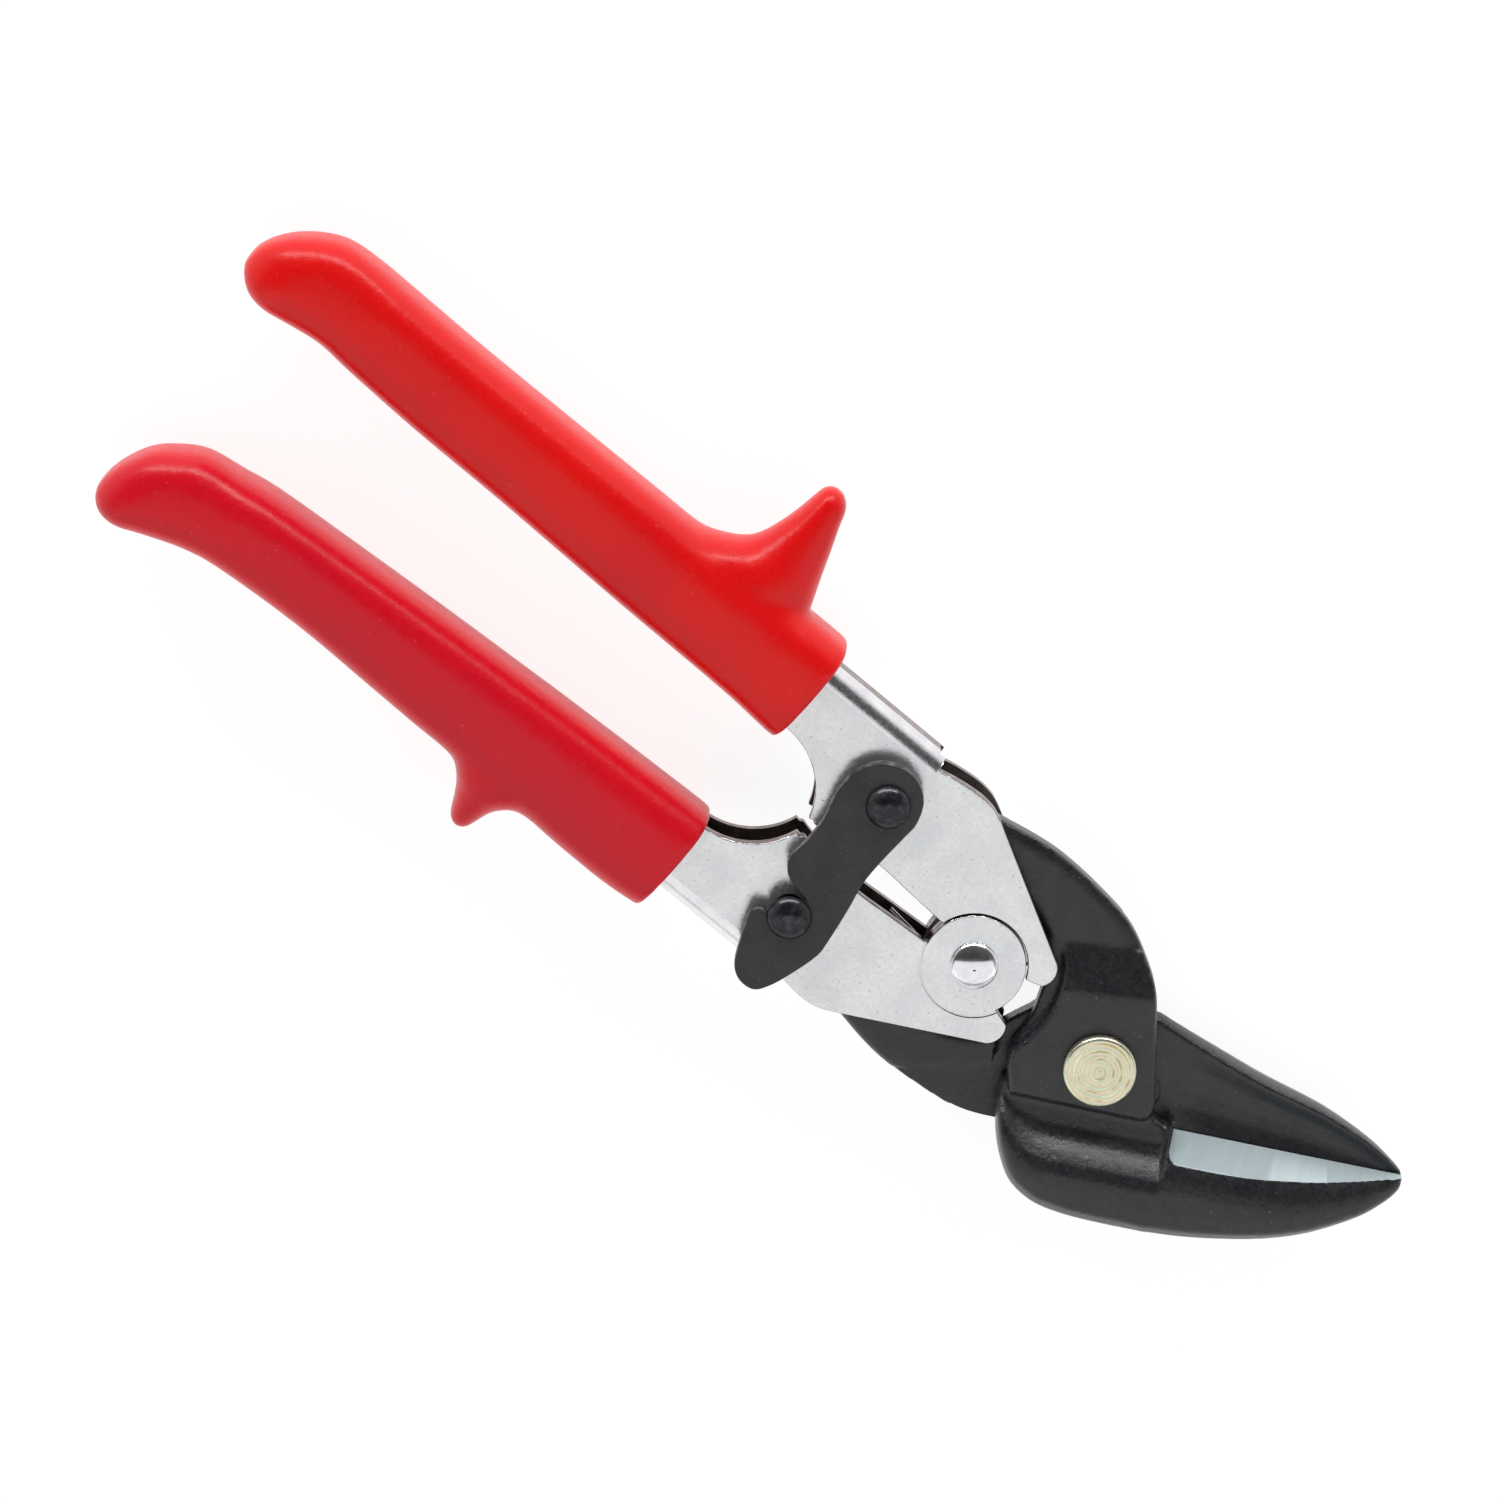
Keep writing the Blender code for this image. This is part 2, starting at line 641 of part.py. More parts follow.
def make_latch(look):
    made = plate("latch", [latch_outline()], *LATCH_HEIGHTS, SNIPS, look)
    hole(made, UPPER_TANG_PIVOT, TANG_SHANK + GAP)
    cut(made, *release_cutters())
    seat(made, UPPER_TANG_PIVOT)
    return made


# ---------------------------------------------------------------- fasteners

def dome(radius, low, high):
    """Profile of a domed head, from its crown down to its rim."""
    points = []
    for step in range(5):
        angle = math.radians(90 - 90 * step / 4)
        points.append((radius * math.cos(angle),
                       low + (high - low) * math.sin(angle)))
    points[0] = (0.0, high)
    return points


def tail(radius, shank, high, low):
    """Profile of a closed rivet's formed end, under its washer."""
    return [(shank, high), (radius, high), (radius, high - 0.5),
            (radius * 0.75, low + 0.3), (radius * 0.4, low), (0.0, low)]


def make_tang_rivet(name, centre, look):
    profile = dome(TANG_HEAD, *TANG_HEAD_HEIGHTS)
    profile += [(TANG_SHANK, TANG_HEAD_HEIGHTS[0])]
    profile += tail(3.6, TANG_SHANK, -6.9, -8.6)
    return turned(name, profile, centre, look)


def make_lower_tang_rivet(look):
    made = make_tang_rivet("lower_tang_rivet", LOWER_TANG_PIVOT, look)
    along = Vector((NECK_SIDE[1], -NECK_SIDE[0], 0))
    across = Vector((*NECK_SIDE, 0))
    frame = Matrix((along, across, (0, 0, 1))).transposed().to_4x4()
    centre = Vector((*LOWER_TANG_PIVOT, SHEAR_HEIGHT)) * MM
    turn = Matrix.Translation(centre) @ frame
    low = (-5, -5, PLATE_OUT + GAP)
    high = (5, NECK_FLAT, TANG_HEAD_HEIGHTS[0])
    cut(made, block("neck_flat", low, high, turn))
    return made


def make_pivot_bolt(look):
    profile = [(0.0, 8.0), (5.9, 8.0), (BOLT_HEAD, 7.5), (BOLT_HEAD, 6.3),
               (BOLT_SHANK, 6.3), (BOLT_SHANK, -11.4), (3.7, -11.8),
               (0.0, -11.8)]
    made = turned("pivot_bolt", profile, BOLT, look)
    for radius in (1.6, 3.1, 4.6):
        name = f"bolt_ring_{radius:.1f}"
        loops = [circle(BOLT, radius + 0.25), circle(BOLT, radius - 0.25)]
        cut(made, plate(name, loops, 7.8, 9.0))
    return made


def make_nut(look):
    across_corners = 13.0 / math.cos(math.radians(30)) / 2
    loops = [circle(BOLT, across_corners, 6), circle(BOLT, BOLT_SHANK + GAP)]
    return plate("pivot_nut", loops, -11.0, -7.5, SNIPS, look)


def make_spring(look):
    """A torsion spring round the spacer, with a leg towards each grip."""
    mean, wire, leg_x, leg_y = 4.9, 1.1, -46.0, 3.2
    top = 0.9
    steps = 30
    points = [(leg_x, leg_y, top)]
    for step in range(steps + 1):
        part = step / steps
        angle = math.radians(90 - 540 * part)
        points.append((HANDLE_PIVOT[0] + mean * math.cos(angle),
                       mean * math.sin(angle), top * (1 - 2 * part)))
    points.append((leg_x, -leg_y, -top))
    curve = bpy.data.curves.new("opening_spring", "CURVE")
    curve.dimensions = "3D"
    curve.bevel_depth = wire / 2 * MM
    curve.bevel_resolution = 2
    curve.use_fill_caps = True
    spline = curve.splines.new("POLY")
    spline.points.add(len(points) - 1)
    for point, (x, y, z) in zip(spline.points, points):
        point.co = (x * MM, y * MM, level(z), 1)
    curve.materials.append(look)
    made = bpy.data.objects.new("opening_spring", curve)
    SNIPS.objects.link(made)
    return made


# ---------------------------------------------------------------- assembly

zinc = new_material("zinc_plate", (0.78, 0.78, 0.80), 0.35, 0.9)
red = new_material("red_grip", (0.80, 0.02, 0.03), 0.45, 0.0)
forged = new_material("forged_black", (0.02, 0.02, 0.024), 0.45, 0.3)
charcoal = new_material("latch_black", (0.04, 0.04, 0.045), 0.5, 0.3)
oxide = new_material("black_oxide", (0.02, 0.02, 0.024), 0.3, 0.5)
chrome = new_material("bright_steel", (0.75, 0.76, 0.78), 0.15, 1.0)
gold = new_material("yellow_zinc", (0.83, 0.77, 0.52), 0.3, 0.9)

make_upper_handle(zinc)
make_lower_handle(zinc)
make_grip("upper_grip", UPPER_GRIP, UPPER_GUARD, 1, red)
seat(make_grip("lower_grip", LOWER_GRIP, LOWER_GUARD, -1, red), HANDLE_PIVOT)
make_front_blade(forged)
make_rear_blade(forged)
make_latch(charcoal)

handle_profile = dome(HANDLE_HEAD, *HANDLE_HEAD_HEIGHTS)
handle_profile += [(HANDLE_SHANK, HANDLE_HEAD_HEIGHTS[0])]
handle_profile += tail(4.0, HANDLE_SHANK, -6.9, -8.4)
turned("handle_rivet", handle_profile, HANDLE_PIVOT, chrome)
ring("handle_spacer", HANDLE_PIVOT, HANDLE_SHANK + GAP, 3.7, -1.3, 1.3, zinc)
make_spring(chrome)

make_tang_rivet("upper_tang_rivet", UPPER_TANG_PIVOT, oxide)
make_lower_tang_rivet(oxide)
ring("latch_washer", UPPER_TANG_PIVOT, TANG_SHANK + GAP, 5.5, 5.8, 7.5, zinc)
REAR_WASHERS = {"upper_rivet_washer": (UPPER_TANG_PIVOT, TANG_SHANK),
                "lower_rivet_washer": (LOWER_TANG_PIVOT, TANG_SHANK),
                "handle_rivet_washer": (HANDLE_PIVOT, HANDLE_SHANK)}
for washer, (pivot, shank) in REAR_WASHERS.items():
    ring(washer, pivot, shank + GAP, WASHER_RADIUS, -6.6, -5.8, zinc)

make_pivot_bolt(gold)
make_nut(zinc)
ring("pivot_washer", BOLT, BOLT_SHANK + GAP, 6.9, -7.2, -6.3, zinc)
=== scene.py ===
"""Aviation snips: the finished look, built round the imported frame.

Every visible piece is remade here in fine mesh work with node materials.
Lengths are millimetres and heights are counted from the shear plane between
the blades, as in the frame's own design; objects are made in metres.
"""

import math

import bmesh
import bpy
from mathutils import Matrix, Vector


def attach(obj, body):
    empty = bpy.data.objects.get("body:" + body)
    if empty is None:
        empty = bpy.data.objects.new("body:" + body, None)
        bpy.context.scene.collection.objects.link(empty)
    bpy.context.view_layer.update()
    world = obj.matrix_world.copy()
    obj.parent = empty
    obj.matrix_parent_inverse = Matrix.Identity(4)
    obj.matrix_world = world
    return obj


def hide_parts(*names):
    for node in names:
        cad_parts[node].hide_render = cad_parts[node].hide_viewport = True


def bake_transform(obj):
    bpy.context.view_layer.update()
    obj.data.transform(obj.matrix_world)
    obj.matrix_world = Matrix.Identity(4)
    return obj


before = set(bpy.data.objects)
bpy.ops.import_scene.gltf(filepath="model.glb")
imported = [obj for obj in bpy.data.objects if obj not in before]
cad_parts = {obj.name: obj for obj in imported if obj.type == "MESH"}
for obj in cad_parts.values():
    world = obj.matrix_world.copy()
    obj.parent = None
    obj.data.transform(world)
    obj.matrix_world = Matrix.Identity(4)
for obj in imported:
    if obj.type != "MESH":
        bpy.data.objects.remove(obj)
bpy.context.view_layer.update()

MM = 0.001
SHEAR_HEIGHT = 11.8
CLEARANCE = 0.3
BOLT = (0.0, 0.0)
HANDLE_PIVOT = (-29.3, 0.0)
UPPER_TANG_PIVOT = (-60.8, 13.2)
LOWER_TANG_PIVOT = (-60.8, -13.2)
# crease angles in degrees, of sheet work, turned or forged work and mouldings
SHEET_CREASE = 30
ROUND = 40
MOULDED = 60
# bore radii, each a little larger than its shank
TANG_BORE = 2.8
OPEN_BORE = 3.2
HANDLE_BORE = 2.9
BOLT_BORE = 4.3


# ------------------------------------------------------------------ geometry

def level(height):
    """Height above the shear plane, as a world coordinate in metres."""
    return (SHEAR_HEIGHT + height) * MM


def arc(centre, radius, start, end, steps):
    """Points on a circle from one angle to another, in degrees."""
    points = []
    for step in range(steps + 1):
        angle = math.radians(start + (end - start) * step / steps)
        points.append((centre[0] + radius * math.cos(angle),
                       centre[1] + radius * math.sin(angle)))
    return points


def circle(centre, radius, steps=64):
    return arc(centre, radius, 0, 360, steps)[:-1]


def turned_about(point, centre, degrees):
    angle = math.radians(degrees)
    x, y = point[0] - centre[0], point[1] - centre[1]
    return (centre[0] + x * math.cos(angle) - y * math.sin(angle),
            centre[1] + x * math.sin(angle) + y * math.cos(angle))


def mirrored(points):
    """The outline's mirror image in the snips' long axis."""
    return [(x, -y) for x, y in reversed(points)]


def smooth_line(points, steps):
    """A Catmull-Rom curve through open points of any dimension."""
    padded = [points[0], *points, points[-1]]
    line = [tuple(points[0])]
    for a, b, c, d in zip(padded, padded[1:], padded[2:], padded[3:]):
        for step in range(1, steps + 1):
            t = step / steps
            line.append(tuple(
                0.5 * (2 * q + (r - p) * t
                       + (2 * p - 5 * q + 4 * r - s) * t * t
                       + (3 * q - p - 3 * r + s) * t ** 3)
                for p, q, r, s in zip(a, b, c, d)))
    return line


def link(name, mesh):
    made = bpy.data.objects.new(name, mesh)
    bpy.context.scene.collection.objects.link(made)
    return made


def built(name, work):
    """An object from finished mesh work, which is used up."""
    mesh = bpy.data.meshes.new(name)
    work.to_mesh(mesh)
    work.free()
    return link(name, mesh)


def axes_of(x_axis, y_axis, z_axis):
    return Matrix((x_axis, y_axis, z_axis)).transposed().to_4x4()


def mesh_of(source):
    """A welded mesh of an object as it is evaluated, in world coordinates."""
    bpy.context.view_layer.update()
    graph = bpy.context.evaluated_depsgraph_get()
    mesh = bpy.data.meshes.new_from_object(source.evaluated_get(graph))
    mesh.transform(source.matrix_world)
    work = bmesh.new()
    work.from_mesh(mesh)
    bmesh.ops.remove_doubles(work, verts=work.verts, dist=1e-6)
    bmesh.ops.recalc_face_normals(work, faces=work.faces)
    work.to_mesh(mesh)
    work.free()
    return mesh


def settle(source):
    """Apply an object's modifiers and curve settings to a plain mesh."""
    mesh = mesh_of(source)
    name = source.name
    bpy.data.objects.remove(source)
    return link(name, mesh)


def plate(name, loops, low, high, rounding=0.0):
    """A flat piece between two heights, its rims rounded inwards."""
    curve = bpy.data.curves.new(name, "CURVE")
    curve.dimensions = "2D"
    curve.fill_mode = "BOTH"
    curve.extrude = ((high - low) / 2 - rounding) * MM
    curve.bevel_depth = rounding * MM
    curve.bevel_resolution = 2
    curve.offset = -rounding * MM
    for loop in loops:
        spline = curve.splines.new("POLY")
        spline.points.add(len(loop) - 1)
        for point, (x, y) in zip(spline.points, loop):
            point.co = (x * MM, y * MM, 0, 1)
        spline.use_cyclic_u = True
    guide = bpy.data.objects.new(name, curve)
    guide.location.z = level((low + high) / 2)
    bpy.context.scene.collection.objects.link(guide)
    return settle(guide)


def loft(name, sections):
    """A closed body through rings of points with equal counts."""
    work = bmesh.new()
    rings = []
    for section in sections:
        rings.append([work.verts.new((x * MM, y * MM, level(z)))
                      for x, y, z in section])
    count = len(rings[0])
    for near, far in zip(rings, rings[1:]):
        for i in range(count):
            j = (i + 1) % count
            work.faces.new((near[i], near[j], far[j], far[i]))
    caps = [work.faces.new(rings[0]), work.faces.new(rings[-1])]
    bmesh.ops.recalc_face_normals(work, faces=work.faces)
    bmesh.ops.triangulate(work, faces=caps)
    return built(name, work)


def turned(name, profile, centre, steps=96):
    """A turned piece, from (radius, height) points down its outer side."""
    mesh = bpy.data.meshes.new(name)
    mesh.from_pydata([(r * MM, 0, z * MM) for r, z in profile],
                     [(i, i + 1) for i in range(len(profile) - 1)], [])
    made = link(name, mesh)
    made.location = (centre[0] * MM, centre[1] * MM, level(0))
    screw = made.modifiers.new("turn", "SCREW")
    screw.steps = steps
    screw.render_steps = steps
    screw.use_merge_vertices = True
    screw.merge_threshold = 1e-6
    return settle(made)


def block(name, low, high, turn=None):
    """A box between two corners in millimetres, moved by a matrix if given."""
    work = bmesh.new()
    bmesh.ops.create_cube(work, size=1.0)
    low, high = Vector(low), Vector(high)
    scale = Matrix.Diagonal((*((high - low) * MM), 1.0))
    work.transform(Matrix.Translation((low + high) / 2 * MM) @ scale)
    if turn is not None:
        work.transform(turn)
    return built(name, work)


def combine(target, tool, operation):
    """Join or cut with another piece, which is used up."""
    step = target.modifiers.new(operation.lower(), "BOOLEAN")
    step.object = tool
    step.operation = operation
    step.solver = "EXACT"
    step.material_mode = "TRANSFER"
    made = settle(target)
    bpy.data.objects.remove(tool)
    return made


def cut(target, *tools):
    for tool in tools:
        target = combine(target, tool, "DIFFERENCE")
    return target


def join(target, *tools):
    for tool in tools:
        target = combine(target, tool, "UNION")
    return target


def hole(target, centre, radius):
    reach = 2 * SHEAR_HEIGHT
    return cut(target, plate("hole", [circle(centre, radius)], -reach, reach))


def fuse(name, pieces, voxel, smoothing):
    """Melt overlapping bodies into one skin, as forging or moulding does."""
    work = bmesh.new()
    for piece in pieces:
        work.from_mesh(mesh_of(piece))
        bpy.data.objects.remove(piece)
    made = built(name, work)
    remesh = made.modifiers.new("skin", "REMESH")
    remesh.mode = "VOXEL"
    remesh.voxel_size = voxel * MM
    soften = made.modifiers.new("soften", "SMOOTH")
    soften.factor = 0.5
    soften.iterations = smoothing
    return settle(made)


def soften_round(target, centre, radius, passes):
    """Blend a skin near a place in side view, as a moulded fillet does."""
    group = target.vertex_groups.new(name="fillet")
    for vertex in target.data.vertices:
        away = math.dist(vertex.co.xy / MM, centre) / radius
        if away < 1.0:
            weight = (1 - away * away) ** 2
            group.add([vertex.index], weight, "REPLACE")
    blend = target.modifiers.new("fillet", "SMOOTH")
    blend.vertex_group = group.name
    blend.factor = 0.5
    blend.iterations = passes
    return settle(target)


def shade(target, soft):
    """Smooth shading with sharp creases. A soft piece names the angle of its
    creases; any other piece keeps its flat faces flat."""
    target.data.shade_smooth()
    target.data.set_sharp_from_angle(angle=math.radians(soft or SHEET_CREASE))
    if not soft:
        normals = target.modifiers.new("flat faces", "WEIGHTED_NORMAL")
        normals.keep_sharp = True


def half_turn(target):
    """Turn a shape over about the long axis in the shear plane."""
    to_plane = Matrix.Translation((0, 0, level(0)))
    over = Matrix.Rotation(math.pi, 4, "X")
    target.data.transform(to_plane @ over @ to_plane.inverted())


# ----------------------------------------------------------------- materials

class Look:
    """A node material built from named sockets of a Principled shader."""

    def __init__(self, name, colour, roughness, metallic=0.0):
        self.material = bpy.data.materials.new(name)
        self.material.use_nodes = True
        self.tree = self.material.node_tree
        self.shader = self.tree.nodes["Principled BSDF"]
        self.set("Base Color", (*colour, 1.0))
        self.set("Roughness", roughness)
        self.set("Metallic", metallic)
        self.material.diffuse_color = (*colour, 1.0)

    def set(self, socket, value):
        self.shader.inputs[socket].default_value = value

    def node(self, kind, **values):
        made = self.tree.nodes.new(kind)
        for key, value in values.items():
            if key in made.inputs:
                made.inputs[key].default_value = value
            else:
                setattr(made, key, value)
        return made

    def wire(self, output, target):
        self.tree.links.new(output, target)

    def place(self):
        """Metres in the piece's own space."""
        return self.node("ShaderNodeTexCoord").outputs["Object"]

    def noise(self, size_mm, detail=3.0, roughness=0.6, distortion=0.0):
        """Noise with features of about the given size, from 0 to 1."""
        made = self.node("ShaderNodeTexNoise", Detail=detail,
                         Roughness=roughness, Distortion=distortion)
        made.inputs["Scale"].default_value = 1.0 / (size_mm * MM)
        self.wire(self.place(), made.inputs["Vector"])
        return made.outputs["Fac"]

    def remap(self, source, low, high, to_low, to_high):
        made = self.node("ShaderNodeMapRange")
        for key, value in zip(("From Min", "From Max", "To Min", "To Max"),
                              (low, high, to_low, to_high)):
            made.inputs[key].default_value = value
        self.wire(source, made.inputs["Value"])
        return made.outputs["Result"]

    def ramp(self, source, stops):
        made = self.node("ShaderNodeValToRGB")
        band = made.color_ramp
        while len(band.elements) < len(stops):
            band.elements.new(0.5)
        for element, (position, colour) in zip(band.elements, stops):
            element.position = position
            element.color = (*colour, 1.0)
        self.wire(source, made.inputs["Fac"])
        return made.outputs["Color"]

    def mix(self, factor, first, second):
        """Blend two colours, each a socket or a plain colour."""
        made = self.node("ShaderNodeMix", data_type="RGBA")
        self.wire(factor, made.inputs["Factor"])
        for key, value in (("A", first), ("B", second)):
            socket = [s for s in made.inputs
                      if s.name == key and s.type == "RGBA"][0]
            if isinstance(value, tuple):
                socket.default_value = (*value, 1.0)
            else:
                self.wire(value, socket)
        return [s for s in made.outputs if s.type == "RGBA"][0]

    def math(self, operation, first, second):
        made = self.node("ShaderNodeMath", operation=operation)
        for socket, value in zip(made.inputs, (first, second)):
            if isinstance(value, (int, float)):
                socket.default_value = value
            else:
                self.wire(value, socket)
        return made.outputs["Value"]

    def facing_up(self):
        """1 on faces square to Z, 0 on walls."""
        split = self.node("ShaderNodeSeparateXYZ")
        normal = self.node("ShaderNodeNewGeometry").outputs["Normal"]
        self.wire(normal, split.inputs["Vector"])
        return self.math("ABSOLUTE", split.outputs["Z"], 0.0)

    def colour(self, source):
        self.wire(source, self.shader.inputs["Base Color"])

    def roughness(self, source):
        self.wire(source, self.shader.inputs["Roughness"])

    def bump(self, *layers):
        """Stack (height socket, depth in mm) layers of relief."""
        normal = None
        for height, depth in layers:
            made = self.node("ShaderNodeBump", Strength=1.0)
            made.inputs["Distance"].default_value = depth * MM
            self.wire(height, made.inputs["Height"])
            if normal:
                self.wire(normal, made.inputs["Normal"])
            normal = made.outputs["Normal"]
        self.wire(normal, self.shader.inputs["Normal"])


def red_plastic(name, deep, warm):
    """Moulded grips with a fine grain, each a blend of two close reds."""
    look = Look(name, warm, 0.32)
    broad = look.noise(38.0, 2.0)
    grain = look.noise(0.9, 3.0, 0.65)
    tone = look.mix(look.remap(broad, 0.35, 0.65, 0.0, 1.0), deep, warm)
    speck = look.remap(look.noise(1.0, 2.0), 0.71, 0.77, 0.0, 0.35)
    look.colour(look.mix(speck, tone, (0.90, 0.20, 0.26)))
    look.roughness(look.remap(grain, 0.3, 0.7, 0.25, 0.37))
    look.set("Specular IOR Level", 0.30)
    look.bump((grain, 0.05), (look.noise(8.0, 2.0), 0.12))
    return look.material


def zinc_sheet():
    look = Look("bright zinc sheet", (0.74, 0.75, 0.77), 0.34, 0.8)
    grain = look.noise(0.7, 4.0, 0.7)
    cloud = look.noise(9.0, 4.0)
    pits = look.remap(look.noise(0.75, 2.0), 0.64, 0.74, 0.0, 0.7)
    face = look.mix(look.remap(cloud, 0.35, 0.65, 0.0, 1.0),
                    (0.72, 0.735, 0.755), (0.84, 0.85, 0.86))
    face = look.mix(look.remap(grain, 0.40, 0.66, 0.35, 0.0), face,
                    (0.55, 0.555, 0.57))
    face = look.mix(pits, face, (0.40, 0.385, 0.38))
    edge = look.mix(look.remap(look.noise(1.6, 3.0), 0.38, 0.62, 0.0, 1.0),
                    (0.05, 0.028, 0.024), (0.26, 0.17, 0.15))
    flat = look.remap(look.facing_up(), 0.45, 0.92, 0.0, 1.0)
    look.colour(look.mix(flat, edge, face))
    look.roughness(look.remap(grain, 0.3, 0.7, 0.15, 0.27))
    look.bump((grain, 0.022), (cloud, 0.12))
    return look.material


def fold_sheet():
    """The rolled fold is stretched brighter than the flat sheet."""
    look = Look("bright zinc fold", (0.80, 0.80, 0.82), 0.22, 1.0)
    grain = look.noise(0.5, 3.0, 0.7)
    look.colour(look.mix(look.remap(look.noise(5.0, 3.0), 0.35, 0.65, 0, 1),
                         (0.72, 0.70, 0.74), (0.86, 0.86, 0.87)))
    look.roughness(look.remap(grain, 0.3, 0.7, 0.16, 0.30))
    look.bump((grain, 0.012))
    return look.material


def painted_channel_shade():
    """Painted shade on the faces inside the channel, mottled lighter and
    darker.
    """
    look = Look("painted shade in channel", (0.07, 0.055, 0.05), 0.45, 0.5)
    shade_mottle = look.noise(2.4, 4.0)
    look.colour(look.mix(look.remap(shade_mottle, 0.35, 0.65, 0.0, 1.0),
                         (0.045, 0.033, 0.030), (0.13, 0.11, 0.105)))
    look.bump((look.noise(0.8, 3.0), 0.01))
    return look.material


def forged_black():
    look = Look("forged black", (0.010, 0.010, 0.012), 0.36)
    grain = look.noise(0.85, 4.0, 0.75)
    lump = look.noise(3.2, 3.0)
    speck = look.remap(look.noise(0.62, 2.0), 0.70, 0.76, 0.0, 0.6)
    # Walls are painted lighter, broken up by the grain: a painted highlight
    # where the rounded rims catch the light.
    wall = look.remap(look.facing_up(), 0.40, 0.96, 0.8, 0.0)
    rim = look.math("MULTIPLY", wall, look.remap(grain, 0.42, 0.62, 0.1, 1.0))
    tone = look.mix(look.remap(lump, 0.35, 0.65, 0.0, 1.0),
                    (0.007, 0.007, 0.010), (0.014, 0.014, 0.017))
    tone = look.mix(rim, tone, (0.05, 0.052, 0.060))
    look.colour(look.mix(speck, tone, (0.17, 0.17, 0.19)))
    look.roughness(look.remap(grain, 0.3, 0.7, 0.22, 0.42))
    look.set("Specular IOR Level", 0.6)
    look.bump((grain, 0.09), (lump, 0.10))
    return look.material


def ground_steel():
    look = Look("ground edge", (0.39, 0.46, 0.48), 0.45, 0.2)
    streak = look.node("ShaderNodeTexNoise", Detail=2.0)
    streak.inputs["Scale"].default_value = 900.0
    squeeze = look.node("ShaderNodeMapping")
    squeeze.inputs["Rotation"].default_value = (0, 0, math.radians(-28))
    squeeze.inputs["Scale"].default_value = (1.0, 0.08, 0.08)
    look.wire(look.place(), squeeze.inputs["Vector"])
    look.wire(squeeze.outputs["Vector"], streak.inputs["Vector"])
    look.colour(look.mix(look.remap(streak.outputs["Fac"], 0.3, 0.7, 0, 1),
                         (0.37, 0.44, 0.455), (0.41, 0.48, 0.50)))
    look.bump((streak.outputs["Fac"], 0.006))
    return look.material


def charcoal_latch():
    look = Look("charcoal satin", (0.018, 0.018, 0.020), 0.5)
    grain = look.noise(0.8, 3.0, 0.7)
    nick = look.remap(look.noise(1.0, 2.0, 0.6, 2.5), 0.70, 0.74, 0.0, 0.8)
    worn = look.remap(look.facing_up(), 0.45, 0.92, 1.0, 0.0)
    worn = look.math("MULTIPLY", worn,
                     look.remap(look.noise(1.8, 3.0), 0.45, 0.62, 0.05, 0.8))
    tone = look.mix(look.remap(look.noise(6.0, 3.0), 0.35, 0.65, 0.0, 1.0),
                    (0.014, 0.014, 0.016), (0.024, 0.024, 0.026))
    tone = look.mix(worn, tone, (0.16, 0.16, 0.17))
    look.colour(look.mix(nick, tone, (0.14, 0.14, 0.15)))
    look.roughness(look.remap(grain, 0.3, 0.7, 0.38, 0.54))
    look.bump((grain, 0.05))
    return look.material


def black_oxide():
    look = Look("glossy black oxide", (0.03, 0.03, 0.034), 0.22, 0.6)
    smear = look.noise(1.6, 3.0)
    look.colour(look.mix(look.remap(smear, 0.45, 0.7, 0.0, 1.0),
                         (0.022, 0.022, 0.027), (0.060, 0.060, 0.068)))
    look.roughness(look.remap(smear, 0.3, 0.7, 0.15, 0.28))
    look.bump((look.noise(0.8, 3.0), 0.003))
    return look.material


def bright_steel():
    look = Look("bright plated steel", (0.80, 0.81, 0.83), 0.14, 1.0)
    smear = look.noise(1.5, 3.0)
    look.colour(look.mix(look.remap(smear, 0.35, 0.65, 0.0, 1.0),
                         (0.74, 0.75, 0.78), (0.86, 0.87, 0.88)))
    look.roughness(look.remap(smear, 0.3, 0.7, 0.10, 0.20))
    look.bump((look.noise(0.9, 2.0), 0.002))
    return look.material


def yellow_zinc():
    """Turned rings in straw, pink and green, as the plating colours them."""
    look = Look("yellow zinc", (0.80, 0.74, 0.50), 0.26, 0.9)
    split = look.node("ShaderNodeSeparateXYZ")
    look.wire(look.place(), split.inputs["Vector"])
    square_x = look.math("MULTIPLY", split.outputs["X"], split.outputs["X"])
    square_y = look.math("MULTIPLY", split.outputs["Y"], split.outputs["Y"])
    radius = look.math("POWER", look.math("ADD", square_x, square_y), 0.5)
    wobble = look.math("MULTIPLY", look.noise(2.6, 2.0), 0.3 * MM)
    radius = look.math("ADD", radius, wobble)
    wave = look.math("SINE", look.math("MULTIPLY", radius, 4300.0), 0.0)
    patch = look.remap(look.noise(3.2, 2.0), 0.35, 0.65, -0.6, 0.6)
    tint = look.remap(look.math("ADD", wave, patch), -1.5, 1.5, 0.0, 1.0)
    look.colour(look.ramp(tint, [(0.0, (0.48, 0.44, 0.24)),
                                 (0.3, (0.80, 0.75, 0.52)),
                                 (0.5, (0.78, 0.62, 0.52)),
                                 (0.7, (0.56, 0.66, 0.46)),
                                 (1.0, (0.86, 0.82, 0.62))]))
    ridges = look.math("SINE", look.math("MULTIPLY", radius, 8600.0), 0.0)
    look.roughness(look.remap(look.noise(1.4, 3.0), 0.3, 0.7, 0.20, 0.34))
    look.bump((ridges, 0.010))
    return look.material


def dull_steel():
    look = Look("plain zinc", (0.62, 0.63, 0.64), 0.40, 1.0)
    grain = look.noise(0.5, 3.0, 0.7)
    look.colour(look.mix(look.remap(look.noise(3.0, 3.0), 0.35, 0.65, 0, 1),
                         (0.52, 0.52, 0.53), (0.72, 0.73, 0.74)))
    look.roughness(look.remap(grain, 0.3, 0.7, 0.32, 0.50))
    look.bump((grain, 0.015))
    return look.material


